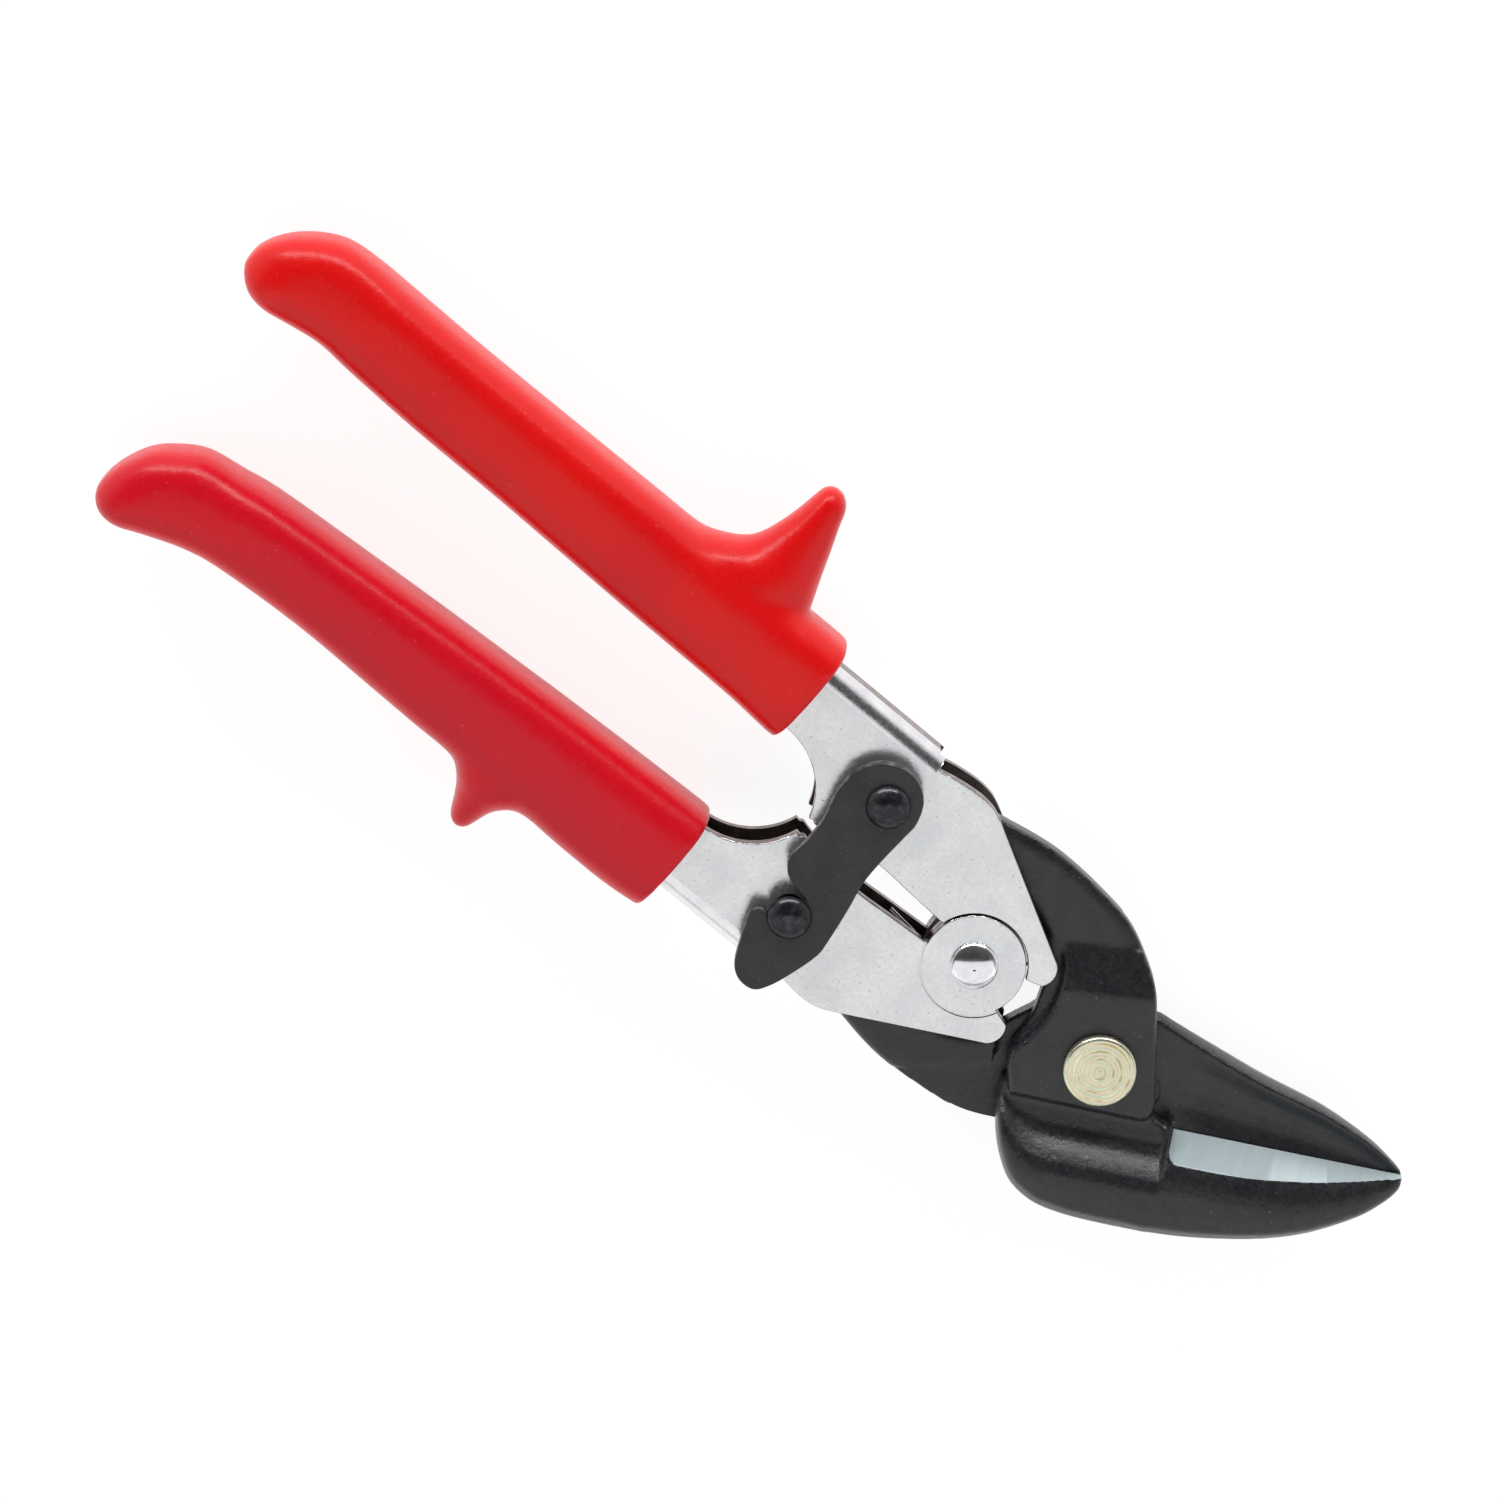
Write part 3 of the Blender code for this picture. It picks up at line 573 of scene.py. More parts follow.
UPPER_RED = red_plastic("upper red plastic", (0.70, 0.003, 0.006),
                        (0.78, 0.005, 0.003))
LOWER_RED = red_plastic("lower red plastic", (0.61, 0.003, 0.018),
                        (0.68, 0.003, 0.012))
ZINC = zinc_sheet()
FOLD = fold_sheet()
SHADE = painted_channel_shade()
FORGED = forged_black()
GROUND = ground_steel()
CHARCOAL = charcoal_latch()
OXIDE = black_oxide()
BRIGHT = bright_steel()
GOLD = yellow_zinc()
DULL = dull_steel()


def finish_piece(piece, node, body, look, soft=None):
    """Give a piece its finish and say which frame node it stands for.
    The body is None for a piece that bends between two bodies."""
    if not piece.data.materials:
        piece.data.materials.append(look)
    else:
        for index, old in enumerate(piece.data.materials):
            if old is None:
                piece.data.materials[index] = look
    shade(piece, soft)
    piece.name = f"{node}_piece"
    if body:
        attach(piece, body)
    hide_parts(node)
    return piece


# -------------------------------------------------------------------- grips

# Stations along a grip: X, lower edge, upper edge, half thickness
UPPER_GRIP = [(-206.0, 13.4, 16.6, 2.4), (-204.8, 11.6, 19.4, 4.6),
              (-202.2, 9.7, 22.7, 6.8), (-198.5, 9.2, 25.6, 8.3),
              (-194.0, 10.0, 27.6, 9.0), (-187.5, 11.0, 28.1, 9.6),
              (-180.6, 10.6, 28.0, 10.0), (-165.0, 10.0, 27.8, 10.0),
              (-146.0, 9.9, 27.9, 10.0), (-120.0, 9.3, 28.2, 10.0),
              (-103.0, 9.1, 28.6, 10.0), (-93.0, 8.9, 28.9, 10.0),
              (-84.0, 8.3, 28.9, 10.0), (-83.0, 8.6, 28.6, 9.7)]
LOWER_GRIP = [(-200.5, -33.6, -30.2, 2.4), (-199.6, -35.4, -26.9, 4.6),
              (-197.4, -36.9, -22.6, 6.8), (-194.0, -36.9, -19.4, 8.3),
              (-189.4, -34.9, -16.7, 9.0), (-182.5, -32.2, -15.6, 9.6),
              (-175.3, -30.8, -14.5, 10.0), (-158.9, -29.9, -13.4, 10.0),
              (-143.0, -30.2, -12.4, 10.0), (-125.8, -30.6, -11.5, 10.0),
              (-111.2, -30.8, -10.8, 10.0), (-91.4, -31.2, -10.1, 10.0),
              (-82.5, -30.6, -9.9, 10.0), (-81.5, -30.3, -10.2, 9.7)]
# Stations up a guard: Y, left edge, right edge, half thickness
UPPER_GUARD = [(20.0, -121.0, -87.5, 9.2), (25.0, -120.0, -89.5, 8.8),
               (28.0, -116.5, -91.8, 8.2), (31.4, -109.9, -93.2, 7.3),
               (35.0, -107.4, -94.7, 6.4), (40.0, -105.9, -96.6, 5.4),
               (44.0, -105.2, -98.2, 4.6), (46.8, -104.8, -99.2, 3.9),
               (48.1, -104.1, -100.3, 2.9), (48.7, -103.1, -101.3, 1.6)]
LOWER_GUARD = [(-22.0, -130.0, -103.5, 9.2), (-27.0, -127.5, -105.0, 9.0),
               (-30.8, -123.0, -108.0, 8.4), (-33.6, -119.9, -110.8, 7.0),
               (-36.6, -118.0, -111.9, 5.4), (-38.6, -117.0, -112.4, 4.2),
               (-39.8, -116.2, -113.0, 3.0), (-40.4, -115.2, -113.9, 1.6)]
# Where a guard flows into its grip: X, distance from the axis, reach
UPPER_FILLETS = [(-114.0, 26.5, 13.0), (-96.0, 25.0, 6.0)]
LOWER_FILLETS = [(-125.0, 30.0, 8.0), (-107.0, 30.0, 7.0)]


# How square a section is: 1 is an ellipse, and less is squarer
SLEEVE_POWER, GUARD_POWER = 2 / 3, 0.85
MOULD_VOXEL, MOULD_PASSES, FILLET_PASSES = 0.6, 7, 90


def squarish(centre_a, reach_a, reach_b, power, steps=40):
    """A superellipse as (a, b) pairs."""
    ring = []
    for a_unit, b_unit in circle((0, 0), 1.0, steps):
        a = centre_a + reach_a * math.copysign(abs(a_unit) ** power, a_unit)
        b = reach_b * math.copysign(abs(b_unit) ** power, b_unit)
        ring.append((a, b))
    return ring


def make_grip(name, stations, guard, fillets, side):
    """A sleeve with its guard moulded on and a pocket for the handle."""
    sections = []
    for x, low, high, half in smooth_line(stations, 4):
        ring = squarish((low + high) / 2, (high - low) / 2, half, SLEEVE_POWER)
        sections.append([(x, y, z) for y, z in ring])
    body = loft(name, sections)
    sections = []
    for y, left, right, half in smooth_line(guard, 3):
        ring = squarish((left + right) / 2, (right - left) / 2, half,
                        GUARD_POWER)
        sections.append([(x, y, z) for x, z in ring])
    fin = loft(f"{name}_guard", sections)
    made = fuse(name, [body, fin], MOULD_VOXEL, MOULD_PASSES)
    for x, y, reach in fillets:
        made = soften_round(made, (x, side * y), reach, FILLET_PASSES)
    pocket = [(-150.3, 25.6), (-150.3, 15.2), (-82.0, 11.2), (-60.0, 11.2),
              (-60.0, 25.6)]
    if side < 0:
        pocket = mirrored(pocket)
    return cut(made, plate("pocket", [pocket], -5.8, 5.8))


# ------------------------------------------------------------------ handles

PLATE_OUT, PLATE_IN = 5.5, 3.5
WEB_Y, FOLD_RADIUS, WEB_END_X = 25.3, 3.5, -57.6
EAR_RADIUS, EAR_RECESS = 9.2, 9.5


def handle_outline(has_ear):
    """Side view of the upper handle, counter-clockwise from the grip's end."""
    points = [(-150.0, WEB_Y), (-150.0, 15.5)]
    points += arc((-82.5, -2.8), 14.3, 90, 18, 20)
    points += arc((-67.3, 2.3), 0.9, 215, 300, 4)
    points += smooth_line([(-64.0, 2.2), (-54.7, 3.1), (-46.5, 2.7),
                           (-39.8, 2.3)], 5)
    if has_ear:
        points += arc(HANDLE_PIVOT, EAR_RADIUS, 166, 384, 56)
    else:
        points += arc(HANDLE_PIVOT, EAR_RECESS, 166, 24, 36)
    points += arc((-20.3, 6.9), 3.4, -40, 52, 10)
    points += smooth_line([(-43.0, 22.9), (-45.6, 23.9), (-49.0, 24.2),
                           (-53.5, 23.7), (WEB_END_X + 0.3, 22.9)], 6)
    points += [(WEB_END_X, WEB_Y - 0.3), (WEB_END_X - 0.4, WEB_Y)]
    return points


def fold_cutter(side, face):
    """What rolls one long edge of a channel into a quarter round."""
    centre = (WEB_Y - FOLD_RADIUS, PLATE_OUT - FOLD_RADIUS)
    profile = arc(centre, FOLD_RADIUS, 0, 90, 14)
    profile += [(centre[0], PLATE_OUT + 1), (WEB_Y + 1, PLATE_OUT + 1),
                (WEB_Y + 1, centre[1])]
    ends = (-151.0, WEB_END_X + 0.1)
    made = loft("fold", [[(x, side * y, face * z) for y, z in profile]
                         for x in ends])
    made.data.materials.append(FOLD)
    return made


def make_channel(name, side):
    """A folded channel: two plates joined by a web along the outer edge."""
    outline = handle_outline(has_ear=side < 0)
    inside = [(-190, -30), (10, -30), (10, 40), (WEB_END_X + 0.2, 40),
              (WEB_END_X - 1.4, 23.3), (-190, 23.3)]
    if side < 0:
        outline, inside = mirrored(outline), mirrored(inside)
    made = plate(name, [outline], -PLATE_OUT, PLATE_OUT, 0.3)
    made.data.materials.append(ZINC)
    made = cut(made, fold_cutter(side, 1), fold_cutter(side, -1))
    tool = plate("inside", [inside], -PLATE_IN, PLATE_IN)
    # The faces inside the channel take the painted shade.
    tool.data.materials.append(SHADE)
    return cut(made, tool)


def make_upper_handle():
    made = make_channel("upper_handle", 1)
    for face in (1, -1):
        ear_loop = arc(HANDLE_PIVOT, 11.8, 40, 140, 24)
        ear_loop += arc(HANDLE_PIVOT, EAR_RADIUS, 140, 400, 56)
        step_loop = arc(HANDLE_PIVOT, 11.5, 42, 138, 24)
        step_loop += arc(HANDLE_PIVOT, 9.8, 138, 42, 24)
        ear_span = sorted((face * 1.6, face * 3.2))
        step_span = sorted((face * 2.0, face * 4.0))
        ear = plate("ear", [ear_loop], *ear_span)
        ear = join(ear, plate("step", [step_loop], *step_span))
        made = join(made, ear)
    made = hole(made, HANDLE_PIVOT, HANDLE_BORE)
    return hole(made, UPPER_TANG_PIVOT, TANG_BORE)


def make_lower_handle():
    made = make_channel("lower_handle", -1)
    for face in (1, -1):
        groove = arc(HANDLE_PIVOT, 9.75, 172, 335, 40)
        groove += arc(HANDLE_PIVOT, 9.25, 335, 172, 40)
        span = sorted((face * 5.2, face * 6.5))
        made = cut(made, plate("groove", [groove], *span))
    made = hole(made, HANDLE_PIVOT, HANDLE_BORE)
    return hole(made, LOWER_TANG_PIVOT, TANG_BORE)


# ------------------------------------------------------------------- blades

TANG_HALF, BOSS_TOP, SHEAR_GAP = 3.1, 6.0, 0.15
EDGE_ANGLE = math.radians(28.3)
EDGE_DOWN = 9.9
RAMP_RUN = 8.3
FORGE_VOXEL = 0.42


def blade_outline():
    """Side view of a tang and its boss, for the front blade."""
    points = arc(UPPER_TANG_PIVOT, 7.0, 95, 262, 30)
    points += [(-50.0, 7.6)]
    points += arc(HANDLE_PIVOT, 13.2, 118, 16, 30)
    points += [(-15.2, 0.2), (-14.6, -3.4), (-14.3, -7.0)]
    points += [(-12.6, -10.4), (-8.9, -13.9)]
    points += [(12.4, -2.6), (13.0, -1.6), (12.9, -0.2), (12.0, 1.4)]
    points += smooth_line([(2.0, 13.2), (-1.4, 16.9), (-5.8, 19.8),
                           (-12.5, 22.9), (-19.9, 24.1), (-28.1, 24.6),
                           (-34.1, 24.2), (-41.3, 22.9), (-50.0, 21.3)], 6)
    return points


def ramp_frame(foot_height):
    """Axes at the ramp's foot: X up the ramp, Y along its foot line."""
    along = Vector((0.83, 0.56, 0)).normalized()
    across = Vector((along.y, -along.x, 0))
    foot = Vector((-18.5, 14.0, SHEAR_HEIGHT + foot_height)) * MM
    return Matrix.Translation(foot) @ axes_of(across, along, (0, 0, 1))


def tang_and_boss(heel):
    """Soft-edged tang and boss bodies, still to be fused. The heel is the
    radius and first angle of the round behind the bolt."""
    radius, start = heel
    outline = blade_outline()
    tang = plate("tang", [outline], -TANG_HALF, TANG_HALF, 2.1)
    loop = [(30, -60), (30, 60), turned_about((60, 0), BOLT, start)]
    loop += arc(BOLT, radius, start, 180, 40) + [(-radius, -60)]
    tang = cut(tang, plate("heel", [loop], -2 * SHEAR_HEIGHT, -1.0))

    boss = plate("boss", [outline], -1.0, BOSS_TOP, 1.1)
    to_foot = ramp_frame(TANG_HALF)
    rise = math.atan2(BOSS_TOP - TANG_HALF, RAMP_RUN)
    slope = to_foot @ Matrix.Rotation(-rise, 4, "Y")
    ramp_length = RAMP_RUN / math.cos(rise)
    boss = cut(boss,
               block("ramp", (0, -60, 0), (ramp_length, 60, 30), slope),
               block("tang_face", (-90, -60, -0.6), (0.3, 60, 30), to_foot))
    side = smooth_line([(-18.9, 12.9), (-15.6, 8.2), (-13.4, 2.3),
                        (-13.2, -3.0), (-14.0, -8.0)], 5)
    side += [(-40.0, -8.0), (-40.0, 12.9)]
    boss = cut(boss, plate("boss_side", [side], TANG_HALF, SHEAR_HEIGHT))
    return [tang, boss]


def jaw_point(along, down, height):
    """A point by its distance along the cutting edge and below it."""
    x = along * math.cos(EDGE_ANGLE) + down * math.sin(EDGE_ANGLE)
    y = along * math.sin(EDGE_ANGLE) - down * math.cos(EDGE_ANGLE)
    return (x, y, height)


# Along, belly's depth and crest height of the lower jaw
LOWER_JAW = [(-16.2, 11.2, 3.6), (-15.6, 13.9, 5.4), (-14.8, 16.9, 6.9),
             (-13.3, 20.5, 8.0), (-10.7, 24.5, 8.9), (-6.3, 27.3, 9.4),
             (-1.5, 28.4, 9.5), (3.3, 28.8, 9.5), (9.2, 28.9, 9.5),
             (14.3, 28.8, 9.5), (15.9, 28.7, 9.5), (21.0, 28.3, 9.5),
             (27.7, 27.3, 9.4), (35.7, 25.6, 9.0), (43.4, 22.9, 8.1),
             (50.9, 18.8, 6.4), (54.4, 16.1, 5.0), (56.6, 13.9, 3.9),
             (57.8, 12.2, 2.9)]


def lower_jaw_section(along, belly, crest):
    """Cove beside the boss, rounded bulge, belly and flat shear face."""
    beside_boss = along < 15.0
    start = 6.0 if along < 9.5 else 8.8 if beside_boss else 7.0
    start = min(start, belly - 3.0)
    span = belly - start
    if beside_boss:
        cove = min(4.3, crest * 0.6)
        climb = crest - cove
        upper = [(start, cove - 0.3), (9.8, cove), (12.2, cove + 0.06 * climb),
                 (14.2, cove + 0.26 * climb), (16.0, cove + 0.58 * climb),
                 (17.8, cove + 0.84 * climb), (19.8, cove + 0.97 * climb)]
    else:
        upper = [(start, 0.50 * crest), (9.6, 0.58 * crest),
                 (11.6, 0.66 * crest), (13.4, 0.77 * crest),
                 (15.2, 0.87 * crest), (17.0, 0.94 * crest),
                 (19.0, 0.985 * crest)]
    reach = 0.66 * span
    squeeze = min(1.0, reach / (upper[-1][0] - start))
    upper = [(start + (down - start) * squeeze, z) for down, z in upper]
    lower = [(start + 0.77 * span, crest), (start + 0.88 * span, 0.90 * crest),
             (start + 0.96 * span, 0.68 * crest), (belly, 0.40 * crest),
             (belly - 0.3, 0.20 * crest),
             (belly - min(1.2, 0.2 * span), SHEAR_GAP)]
    shape = [(start, SHEAR_GAP), *upper, *lower]
    return [jaw_point(along, down, height) for down, height in shape]


def ground_bevel():
    """The wedge that grinding takes off above the lower cutting edge."""
    sections = []
    narrowing = [(15.5, 1.5), (15.8, 0.7), (16.5, 0.2), (18.0, 0.0),
                 (30.0, 0.1), (40.0, 0.7), (48.0, 1.8), (54.0, 3.1),
                 (62.0, 5.2)]
    for along, taper in smooth_line(narrowing, 4):
        shape = [(EDGE_DOWN, SHEAR_GAP - 0.2), (13.9 - taper, 7.2),
                 (15.9 - taper, 12.0), (-8.0, 12.0), (-8.0, SHEAR_GAP - 0.2)]
        sections.append([jaw_point(along, *point) for point in shape])
    made = loft("ground_bevel", sections)
    made.data.materials.append(GROUND)
    return made


# Along, spine's place and depth of the upper jaw's back
UPPER_JAW = [(-1.0, -3.0, 5.0), (5.0, -8.6, 5.4), (8.4, -10.1, 5.8),
             (12.3, -8.7, 6.6), (16.5, -7.0, 7.6), (21.2, -5.2, 8.3),
             (30.1, -2.0, 8.6), (41.8, 1.3, 7.4), (50.8, 5.1, 5.6),
             (55.8, 8.1, 3.9), (58.0, 9.8, 2.7)]


def upper_jaw_section(along, spine, depth):
    """Hollow face, thin bright spine and a back that thins to the edge."""
    edge = min(11.4, 6.0 + along)
    span = edge - spine
    hollow = min(1.8, max(0.0, (along - 8.0) * 0.15)) * min(1.0, span / 13)
    shape = [(edge, -SHEAR_GAP), (edge - 0.12 * span, -0.42 * depth),
             (edge - 0.28 * span, -0.74 * depth),
             (edge - 0.46 * span, -0.94 * depth),
             (edge - 0.64 * span, -depth),
             (edge - 0.82 * span, -0.96 * depth),
             (spine + 0.07 * span, -0.84 * depth),
             (spine + 0.015 * span, -0.62 * depth), (spine, -0.40 * depth),
             (spine + 0.02 * span, -0.20 * depth),
             (spine + 0.05 * span, -0.05 * depth),
             (spine + 0.10 * span, -SHEAR_GAP - 0.05),
             (spine + 0.30 * span, -SHEAR_GAP - 0.8 * hollow),
             (spine + 0.50 * span, -SHEAR_GAP - hollow),
             (spine + 0.70 * span, -SHEAR_GAP - 0.8 * hollow),
             (spine + 0.88 * span, -SHEAR_GAP - 0.3 * hollow)]
    return [jaw_point(along, down, height) for down, height in shape]


def shear_cutter(low, high):
    return block("shear", (-14.6, -45, SHEAR_HEIGHT + low),
                 (70, 45, SHEAR_HEIGHT + high))


def make_front_blade():
    pieces = tang_and_boss((17.3, 80))
    stations = smooth_line(LOWER_JAW[:9], 3) + smooth_line(LOWER_JAW[9:], 3)
    pieces.append(loft("jaw", [lower_jaw_section(*s) for s in stations]))
    made = fuse("front_blade", pieces, FORGE_VOXEL, 9)
    made.data.materials.append(FORGED)
    made = cut(made, ground_bevel(), shear_cutter(-20, SHEAR_GAP))
    made = hole(made, BOLT, BOLT_BORE)
    return hole(made, UPPER_TANG_PIVOT, TANG_BORE)


def make_rear_blade():
    pieces = tang_and_boss((18.6, 138))
    for piece in pieces:
        half_turn(piece)
    stations = smooth_line(UPPER_JAW, 4)
    pieces.append(loft("jaw", [upper_jaw_section(*s) for s in stations]))
    made = fuse("rear_blade", pieces, FORGE_VOXEL, 5)
    made.data.materials.append(FORGED)
    made = cut(made, shear_cutter(-SHEAR_GAP, 20))
    made = hole(made, BOLT, BOLT_BORE)
    return hole(made, LOWER_TANG_PIVOT, OPEN_BORE)


# -------------------------------------------------------------------- latch

LATCH_LOW, LATCH_HIGH = 7.8, 10.2
SHANK_RADIUS = 2.5
# the lower rivet's neck is flat on the side that the hook lets go
NECK_FLAT = 0.5
NECK_SIDE = (-0.431, 0.902)
RELEASE_STEPS, RELEASE_STEP = 12, 0.75
LATCH_RATIO = 3


def latch_outline():
    """Side view of the hook, counter-clockwise from the pocket's lip."""
    points = [(-63.6, -15.4), (-62.4, -15.7)]
    points += arc(LOWER_TANG_PIVOT, 2.9, 262, 430, 24)
    points += smooth_line([(-60.6, -9.0), (-64.8, -8.1), (-66.9, -6.6),
                           (-67.8, -4.5), (-67.5, 0.0), (-67.9, 4.4),
                           (-69.1, 8.6), (-69.4, 12.0), (-69.0, 15.0),
                           (-66.8, 18.4), (-63.0, 20.2), (-59.1, 19.7),
                           (-56.4, 17.6), (-54.9, 14.0), (-54.9, 10.4),
                           (-55.1, 4.6), (-54.9, -0.3), (-53.8, -5.4),
                           (-52.7, -11.8), (-52.4, -15.6), (-53.8, -21.4),
                           (-55.2, -25.2), (-56.8, -27.4), (-59.4, -27.8),
                           (-61.8, -26.7), (-63.6, -24.1), (-66.4, -17.5),
                           (-66.1, -15.6), (-65.0, -15.0)], 5)
    return list(reversed(points))


def neck_outline(extra):
    """The half-moon neck of the lower rivet, grown by a clearance."""
    facing = math.degrees(math.atan2(NECK_SIDE[1], NECK_SIDE[0]))
    radius = SHANK_RADIUS + extra
    half = math.degrees(math.acos((NECK_FLAT - extra) / radius))
    return arc(LOWER_TANG_PIVOT, radius, facing - half, facing + half, 14)


def release_cutters():
    """Where the neck passes through the hook as the snips open."""
    loops = []
    for step in range(RELEASE_STEPS + 1):
        travel = RELEASE_STEP * step
        moved = [turned_about(p, HANDLE_PIVOT, travel)
                 for p in neck_outline(CLEARANCE)]
        back = -LATCH_RATIO * travel
        loops.append([turned_about(p, UPPER_TANG_PIVOT, back) for p in moved])
    cutters = []
    for near, far in zip(loops, loops[1:]):
        work = bmesh.new()
        for x, y in near + far:
            for height in (LATCH_LOW - 1.3, LATCH_HIGH + 1.3):
                work.verts.new((x * MM, y * MM, level(height)))
        bmesh.ops.convex_hull(work, input=work.verts)
        loose = [v for v in work.verts if not v.link_faces]
        bmesh.ops.delete(work, geom=loose, context="VERTS")
        bmesh.ops.recalc_face_normals(work, faces=work.faces)
        cutters.append(built("release", work))
    return cutters


def make_latch():
    made = plate("latch", [latch_outline()], LATCH_LOW, LATCH_HIGH, 0.4)
    made = hole(made, UPPER_TANG_PIVOT, TANG_BORE)
    return cut(made, *release_cutters())


# ---------------------------------------------------------------- fasteners

def dome(radius, low, high, dimple=1.3):
    """A domed head with a soft dimple left by the riveting tool."""
    rim = low + 0.3
    steps = 24
    points = []
    for step in range(steps + 1):
        r = radius * step / steps
        z = rim + (high - rim) * (1 - (r / radius) ** 2) ** 0.8
        if r < dimple:
            z -= 0.16 * (0.5 + 0.5 * math.cos(math.pi * r / dimple))
        points.append((r, z))
    return points + [(radius, low + 0.08), (radius - 0.08, low)]


def tail(radius, shank, high, low):
    """The formed end of a rivet, under its washer."""
    return [(shank, high), (radius - 0.15, high), (radius, high - 0.15),
            (radius, high - 0.5), (radius * 0.93, low + 0.55),
            (radius * 0.75, low + 0.2), (radius * 0.5, low),
            (radius * 0.2, low + 0.12), (0.0, low + 0.15)]


TANG_HEAD = 10.5
RIVET_TAIL = -6.9


def make_handle_rivet():
    profile = dome(4.2, 5.8, 7.5, 0.7) + [(2.6, 5.8)]
    profile += tail(4.0, 2.6, RIVET_TAIL, -8.4)
    return turned("handle_rivet", profile, HANDLE_PIVOT)


def make_tang_rivet(name, centre):
    profile = dome(3.9, TANG_HEAD, 12.8) + [(SHANK_RADIUS, TANG_HEAD)]
    profile += tail(3.6, SHANK_RADIUS, RIVET_TAIL, -8.6)
    return turned(name, profile, centre)


def make_lower_tang_rivet():
    made = make_tang_rivet("lower_tang_rivet", LOWER_TANG_PIVOT)
    along = Vector((NECK_SIDE[1], -NECK_SIDE[0], 0))
    across = Vector((*NECK_SIDE, 0))
    centre = Vector((*LOWER_TANG_PIVOT, SHEAR_HEIGHT)) * MM
    turn = Matrix.Translation(centre) @ axes_of(along, across, (0, 0, 1))
    flat = block("flat", (-5, -5, 5.8), (5, NECK_FLAT, TANG_HEAD), turn)
    return cut(made, flat)


def make_pivot_bolt():
    """A flat turned head with shallow rings and a centre mark."""
    profile = [(0.0, 7.97), (0.4, 7.94), (0.7, 7.90), (1.0, 7.92),
               (1.3, 7.98), (1.6, 7.99)]
    for ring in range(4):
        radius = 2.1 + 0.95 * ring
        profile += [(radius, 7.99), (radius + 0.30, 7.94),
                    (radius + 0.60, 7.985)]
    profile += [(5.95, 7.98), (6.25, 7.86), (6.45, 7.6), (6.5, 7.3),
                (6.5, 6.45), (6.35, 6.3), (4.0, 6.3), (4.0, -11.3)]
    profile += [(3.8, -11.65), (3.5, -11.8), (0.0, -11.8)]
    return turned("pivot_bolt", profile, BOLT, 128)


def make_nut():
    """Hexagon with its corners chamfered by a turned envelope."""
    half_across, low, high = 6.5, -11.0, -7.5
    hexagon = circle(BOLT, half_across / math.cos(math.radians(30)), 6)
    made = plate("nut", [hexagon], low, high)
    profile = [(0, high), (6.7, high), (7.6, high - 0.5),
               (7.6, low + 0.5), (6.7, low), (0, low)]
    envelope = turned("envelope", profile, BOLT)
    made = combine(made, envelope, "INTERSECT")
    return hole(made, BOLT, BOLT_BORE)


def make_ring(name, centre, inner, outer, low, high):
    loops = [circle(centre, outer), circle(centre, inner)]
    return plate(name, loops, low, high, 0.12)


def make_spring():
    """A torsion spring round the spacer, with a leg towards each grip."""
    mean, top, steps = 4.9, 0.9, 120
    leg_x, leg_y = -46.0, 3.2
    points = [(leg_x, leg_y, top)]
    for step in range(steps + 1):
        part = step / steps
        angle = math.radians(90 - 540 * part)
        points.append((HANDLE_PIVOT[0] + mean * math.cos(angle),
                       mean * math.sin(angle), top * (1 - 2 * part)))
    points.append((leg_x, -leg_y, -top))
    curve = bpy.data.curves.new("opening_spring", "CURVE")
    curve.dimensions = "3D"
    curve.bevel_depth = 0.55 * MM
    curve.bevel_resolution = 5
    curve.use_fill_caps = True
    spline = curve.splines.new("POLY")
    spline.points.add(len(points) - 1)
    for point, (x, y, z) in zip(spline.points, points):
        point.co = (x * MM, y * MM, level(z), 1)
    guide = bpy.data.objects.new("opening_spring", curve)
    bpy.context.scene.collection.objects.link(guide)
    return settle(guide)


# ----------------------------------------------------------------- assembly

finish_piece(make_grip("upper_grip", UPPER_GRIP, UPPER_GUARD,
                       UPPER_FILLETS, 1),
             "upper_grip", "upper_handle", UPPER_RED, MOULDED)
finish_piece(make_grip("lower_grip", LOWER_GRIP, LOWER_GUARD,
                       LOWER_FILLETS, -1),
             "lower_grip", "lower_handle", LOWER_RED, MOULDED)
finish_piece(make_upper_handle(), "upper_handle", "upper_handle", ZINC)
finish_piece(make_lower_handle(), "lower_handle", "lower_handle", ZINC)
finish_piece(make_front_blade(), "front_blade", "front_blade",
             FORGED, ROUND)
finish_piece(make_rear_blade(), "rear_blade", "rear_blade",
             FORGED, ROUND)
finish_piece(make_latch(), "latch", "latch", CHARCOAL)
finish_piece(make_handle_rivet(), "handle_rivet", "upper_handle",
             BRIGHT, ROUND)
finish_piece(make_tang_rivet("upper_tang_rivet", UPPER_TANG_PIVOT),
             "upper_tang_rivet", "upper_handle", OXIDE, ROUND)
finish_piece(make_lower_tang_rivet(), "lower_tang_rivet", "lower_handle",
             OXIDE, ROUND)
finish_piece(make_pivot_bolt(), "pivot_bolt", "front_blade",
             GOLD, ROUND)
finish_piece(make_nut(), "pivot_nut", "front_blade", DULL)

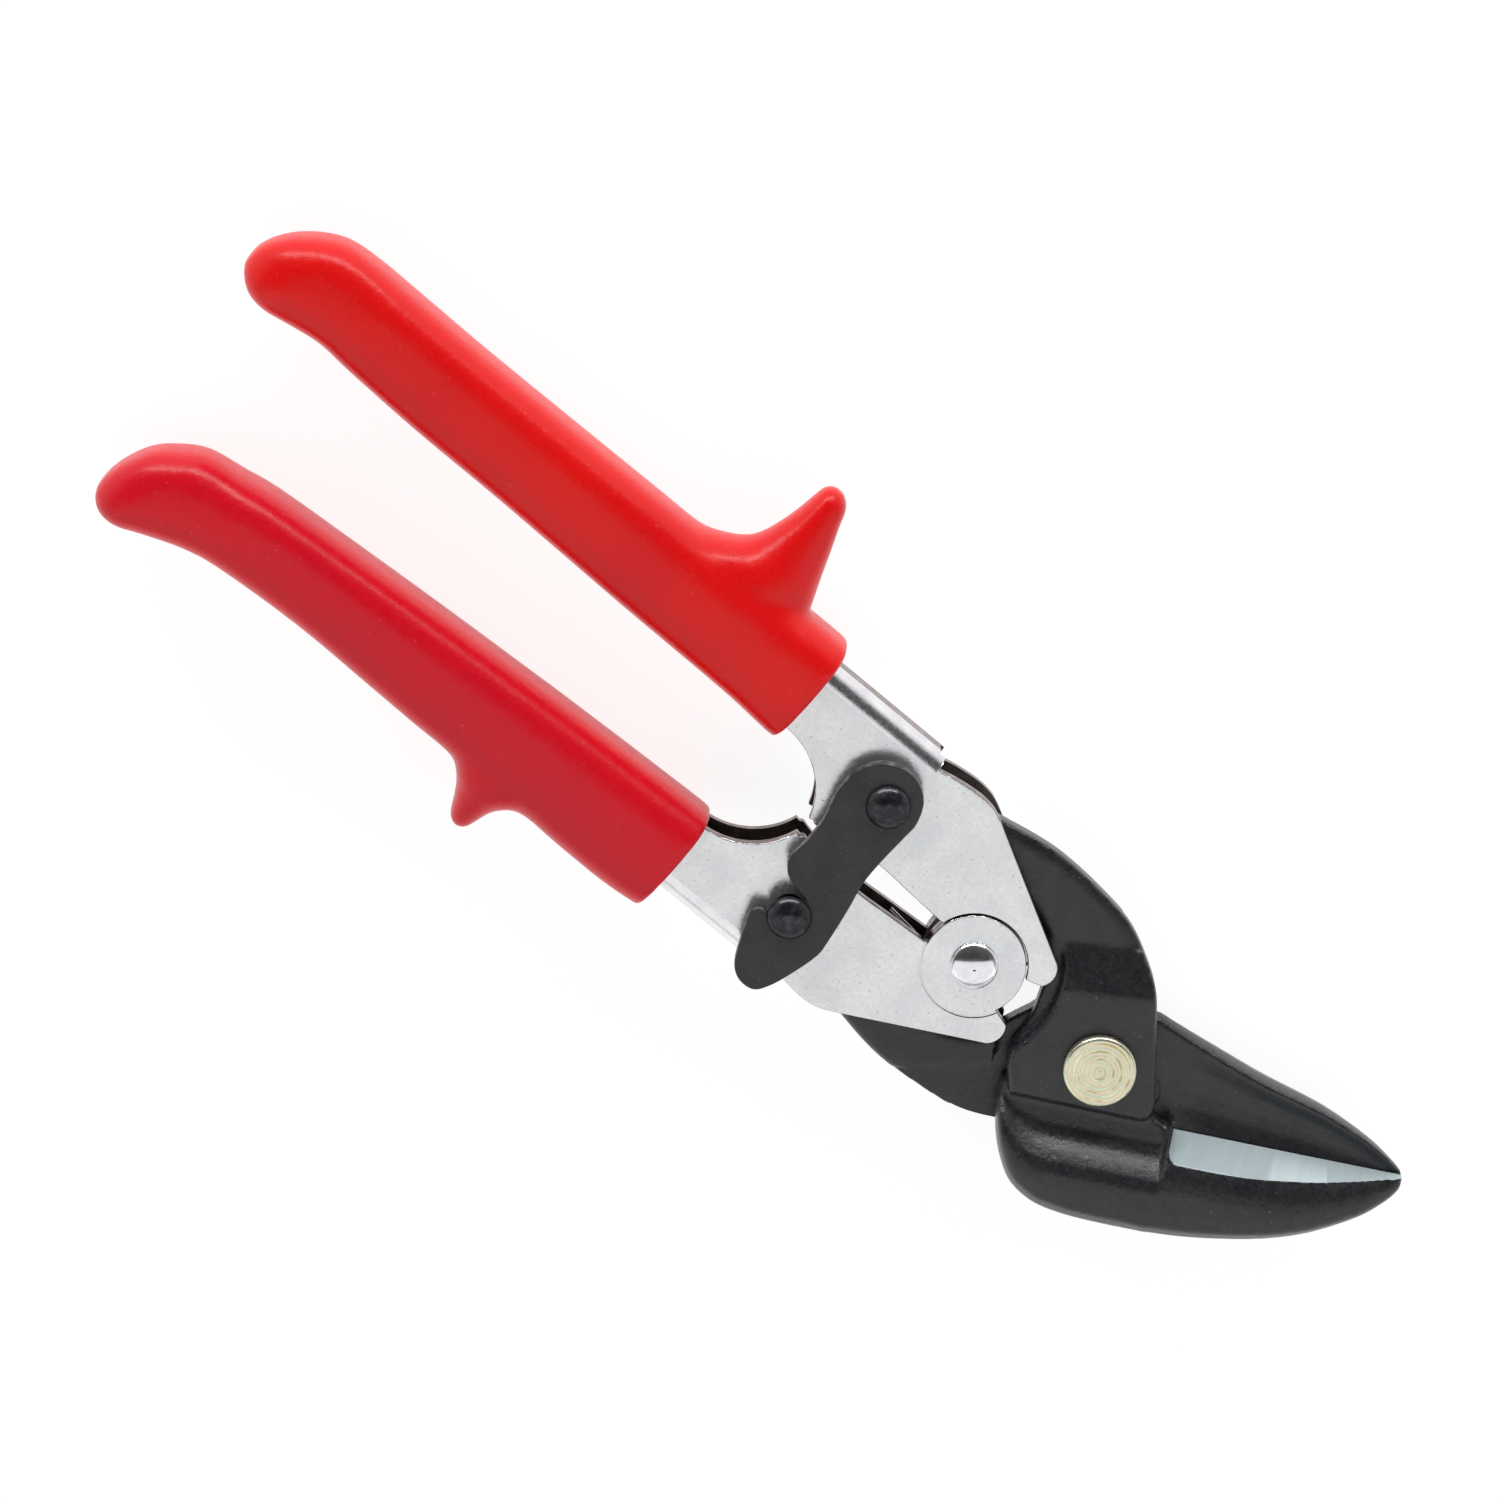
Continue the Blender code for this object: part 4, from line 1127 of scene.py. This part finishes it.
# Node, body, centre, inner and outer radius, lower and upper height
RINGS = [
    ("handle_spacer", "upper_handle", HANDLE_PIVOT, HANDLE_BORE, 3.7,
     -1.3, 1.3),
    ("latch_washer", "upper_handle", UPPER_TANG_PIVOT, TANG_BORE, 5.5,
     5.8, 7.5),
    ("upper_rivet_washer", "upper_handle", UPPER_TANG_PIVOT, TANG_BORE, 5.2,
     -6.6, -5.8),
    ("handle_rivet_washer", "upper_handle", HANDLE_PIVOT, HANDLE_BORE, 5.2,
     -6.6, -5.8),
    ("lower_rivet_washer", "lower_handle", LOWER_TANG_PIVOT, TANG_BORE, 5.2,
     -6.6, -5.8),
    ("pivot_washer", "front_blade", BOLT, BOLT_BORE, 6.9, -7.2, -6.3),
]
for node, body, centre, inner, outer, low, high in RINGS:
    finish_piece(make_ring(node, centre, inner, outer, low, high),
                 node, body, DULL)

# The coil winds round the pivot, and each leg lies in its own handle; the
# spring is attached to neither body.
spring = finish_piece(make_spring(), "opening_spring", None,
                      BRIGHT, ROUND)
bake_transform(spring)


# -------------------------------------------------------- floor, light, view

FLOOR_REACH = 6.0
FLOOR_DROP = 0.3 * MM


def make_stage():
    work = bmesh.new()
    bmesh.ops.create_grid(work, x_segments=1, y_segments=1, size=FLOOR_REACH)
    floor = built("floor", work)
    floor.location.z = -FLOOR_DROP
    pale = Look("pale floor", (0.24, 0.24, 0.24), 0.9)
    pale.set("Emission Color", (1.0, 1.0, 1.0, 1.0))
    pale.set("Emission Strength", 0.86)
    floor.data.materials.append(pale.material)


# The camera's turn about Z and its lean from straight overhead
TURN = math.radians(40.5)
TILT = math.radians(16)
RIGHT = Vector((math.cos(TURN), math.sin(TURN), 0))
AWAY = Vector((-math.sin(TURN), math.cos(TURN), 0))
OVERHEAD = Vector((0, 0, 1))
UP = AWAY * math.cos(TILT) - OVERHEAD * math.sin(TILT)
BACK = AWAY * math.sin(TILT) + OVERHEAD * math.cos(TILT)
LOOK_AT = Vector((-83.8, 3.2, SHEAR_HEIGHT)) * MM
FRAME_WIDTH = 262.3 * MM


def make_camera():
    data = bpy.data.cameras.new("camera")
    data.lens = 150.0
    data.sensor_width = 36.0
    data.clip_end = 50.0
    camera = bpy.data.objects.new("camera", data)
    bpy.context.scene.collection.objects.link(camera)
    distance = data.lens / data.sensor_width * FRAME_WIDTH
    place = Matrix.Translation(LOOK_AT + BACK * distance)
    camera.matrix_world = place @ axes_of(RIGHT, UP, BACK)
    bpy.context.scene.camera = camera


def panel(name, tilt, distance, size, radiance):
    """A soft panel square to the snips, tilted from overhead towards the
    far side of the table, in degrees."""
    data = bpy.data.lights.new(name, "AREA")
    data.shape = "RECTANGLE"
    data.size, data.size_y = size
    data.energy = radiance * math.pi * size[0] * size[1]
    light = bpy.data.objects.new(name, data)
    bpy.context.scene.collection.objects.link(light)
    angle = math.radians(tilt)
    out = AWAY * math.sin(angle) + OVERHEAD * math.cos(angle)
    place = Matrix.Translation(LOOK_AT + out * distance)
    light.matrix_world = place @ axes_of(RIGHT, out.cross(RIGHT), out)


def make_world():
    """A pale studio horizon under a dark ceiling."""
    world = bpy.data.worlds.new("studio")
    world.use_nodes = True
    tree = world.node_tree
    background = tree.nodes["Background"]
    place = tree.nodes.new("ShaderNodeTexCoord")
    split = tree.nodes.new("ShaderNodeSeparateXYZ")
    band = tree.nodes.new("ShaderNodeValToRGB")
    tree.links.new(place.outputs["Generated"], split.inputs["Vector"])
    tree.links.new(split.outputs["Z"], band.inputs["Fac"])
    tree.links.new(band.outputs["Color"], background.inputs["Color"])
    stops = [(0.0, 0.95), (0.22, 0.8), (0.5, 0.10), (1.0, 0.05)]
    while len(band.color_ramp.elements) < len(stops):
        band.color_ramp.elements.new(0.5)
    for element, (position, grey) in zip(band.color_ramp.elements, stops):
        element.position = position
        element.color = (grey, grey, grey, 1.0)
    bpy.context.scene.world = world


def make_light():
    panel("far_panel", 70, 1.6, (2.4, 0.15), 21.0)
    panel("near_panel", -32, 1.6, (5.5, 2.0), 0.92)
    make_world()
    bpy.context.scene.view_settings.view_transform = "Standard"


make_stage()
make_camera()
make_light()
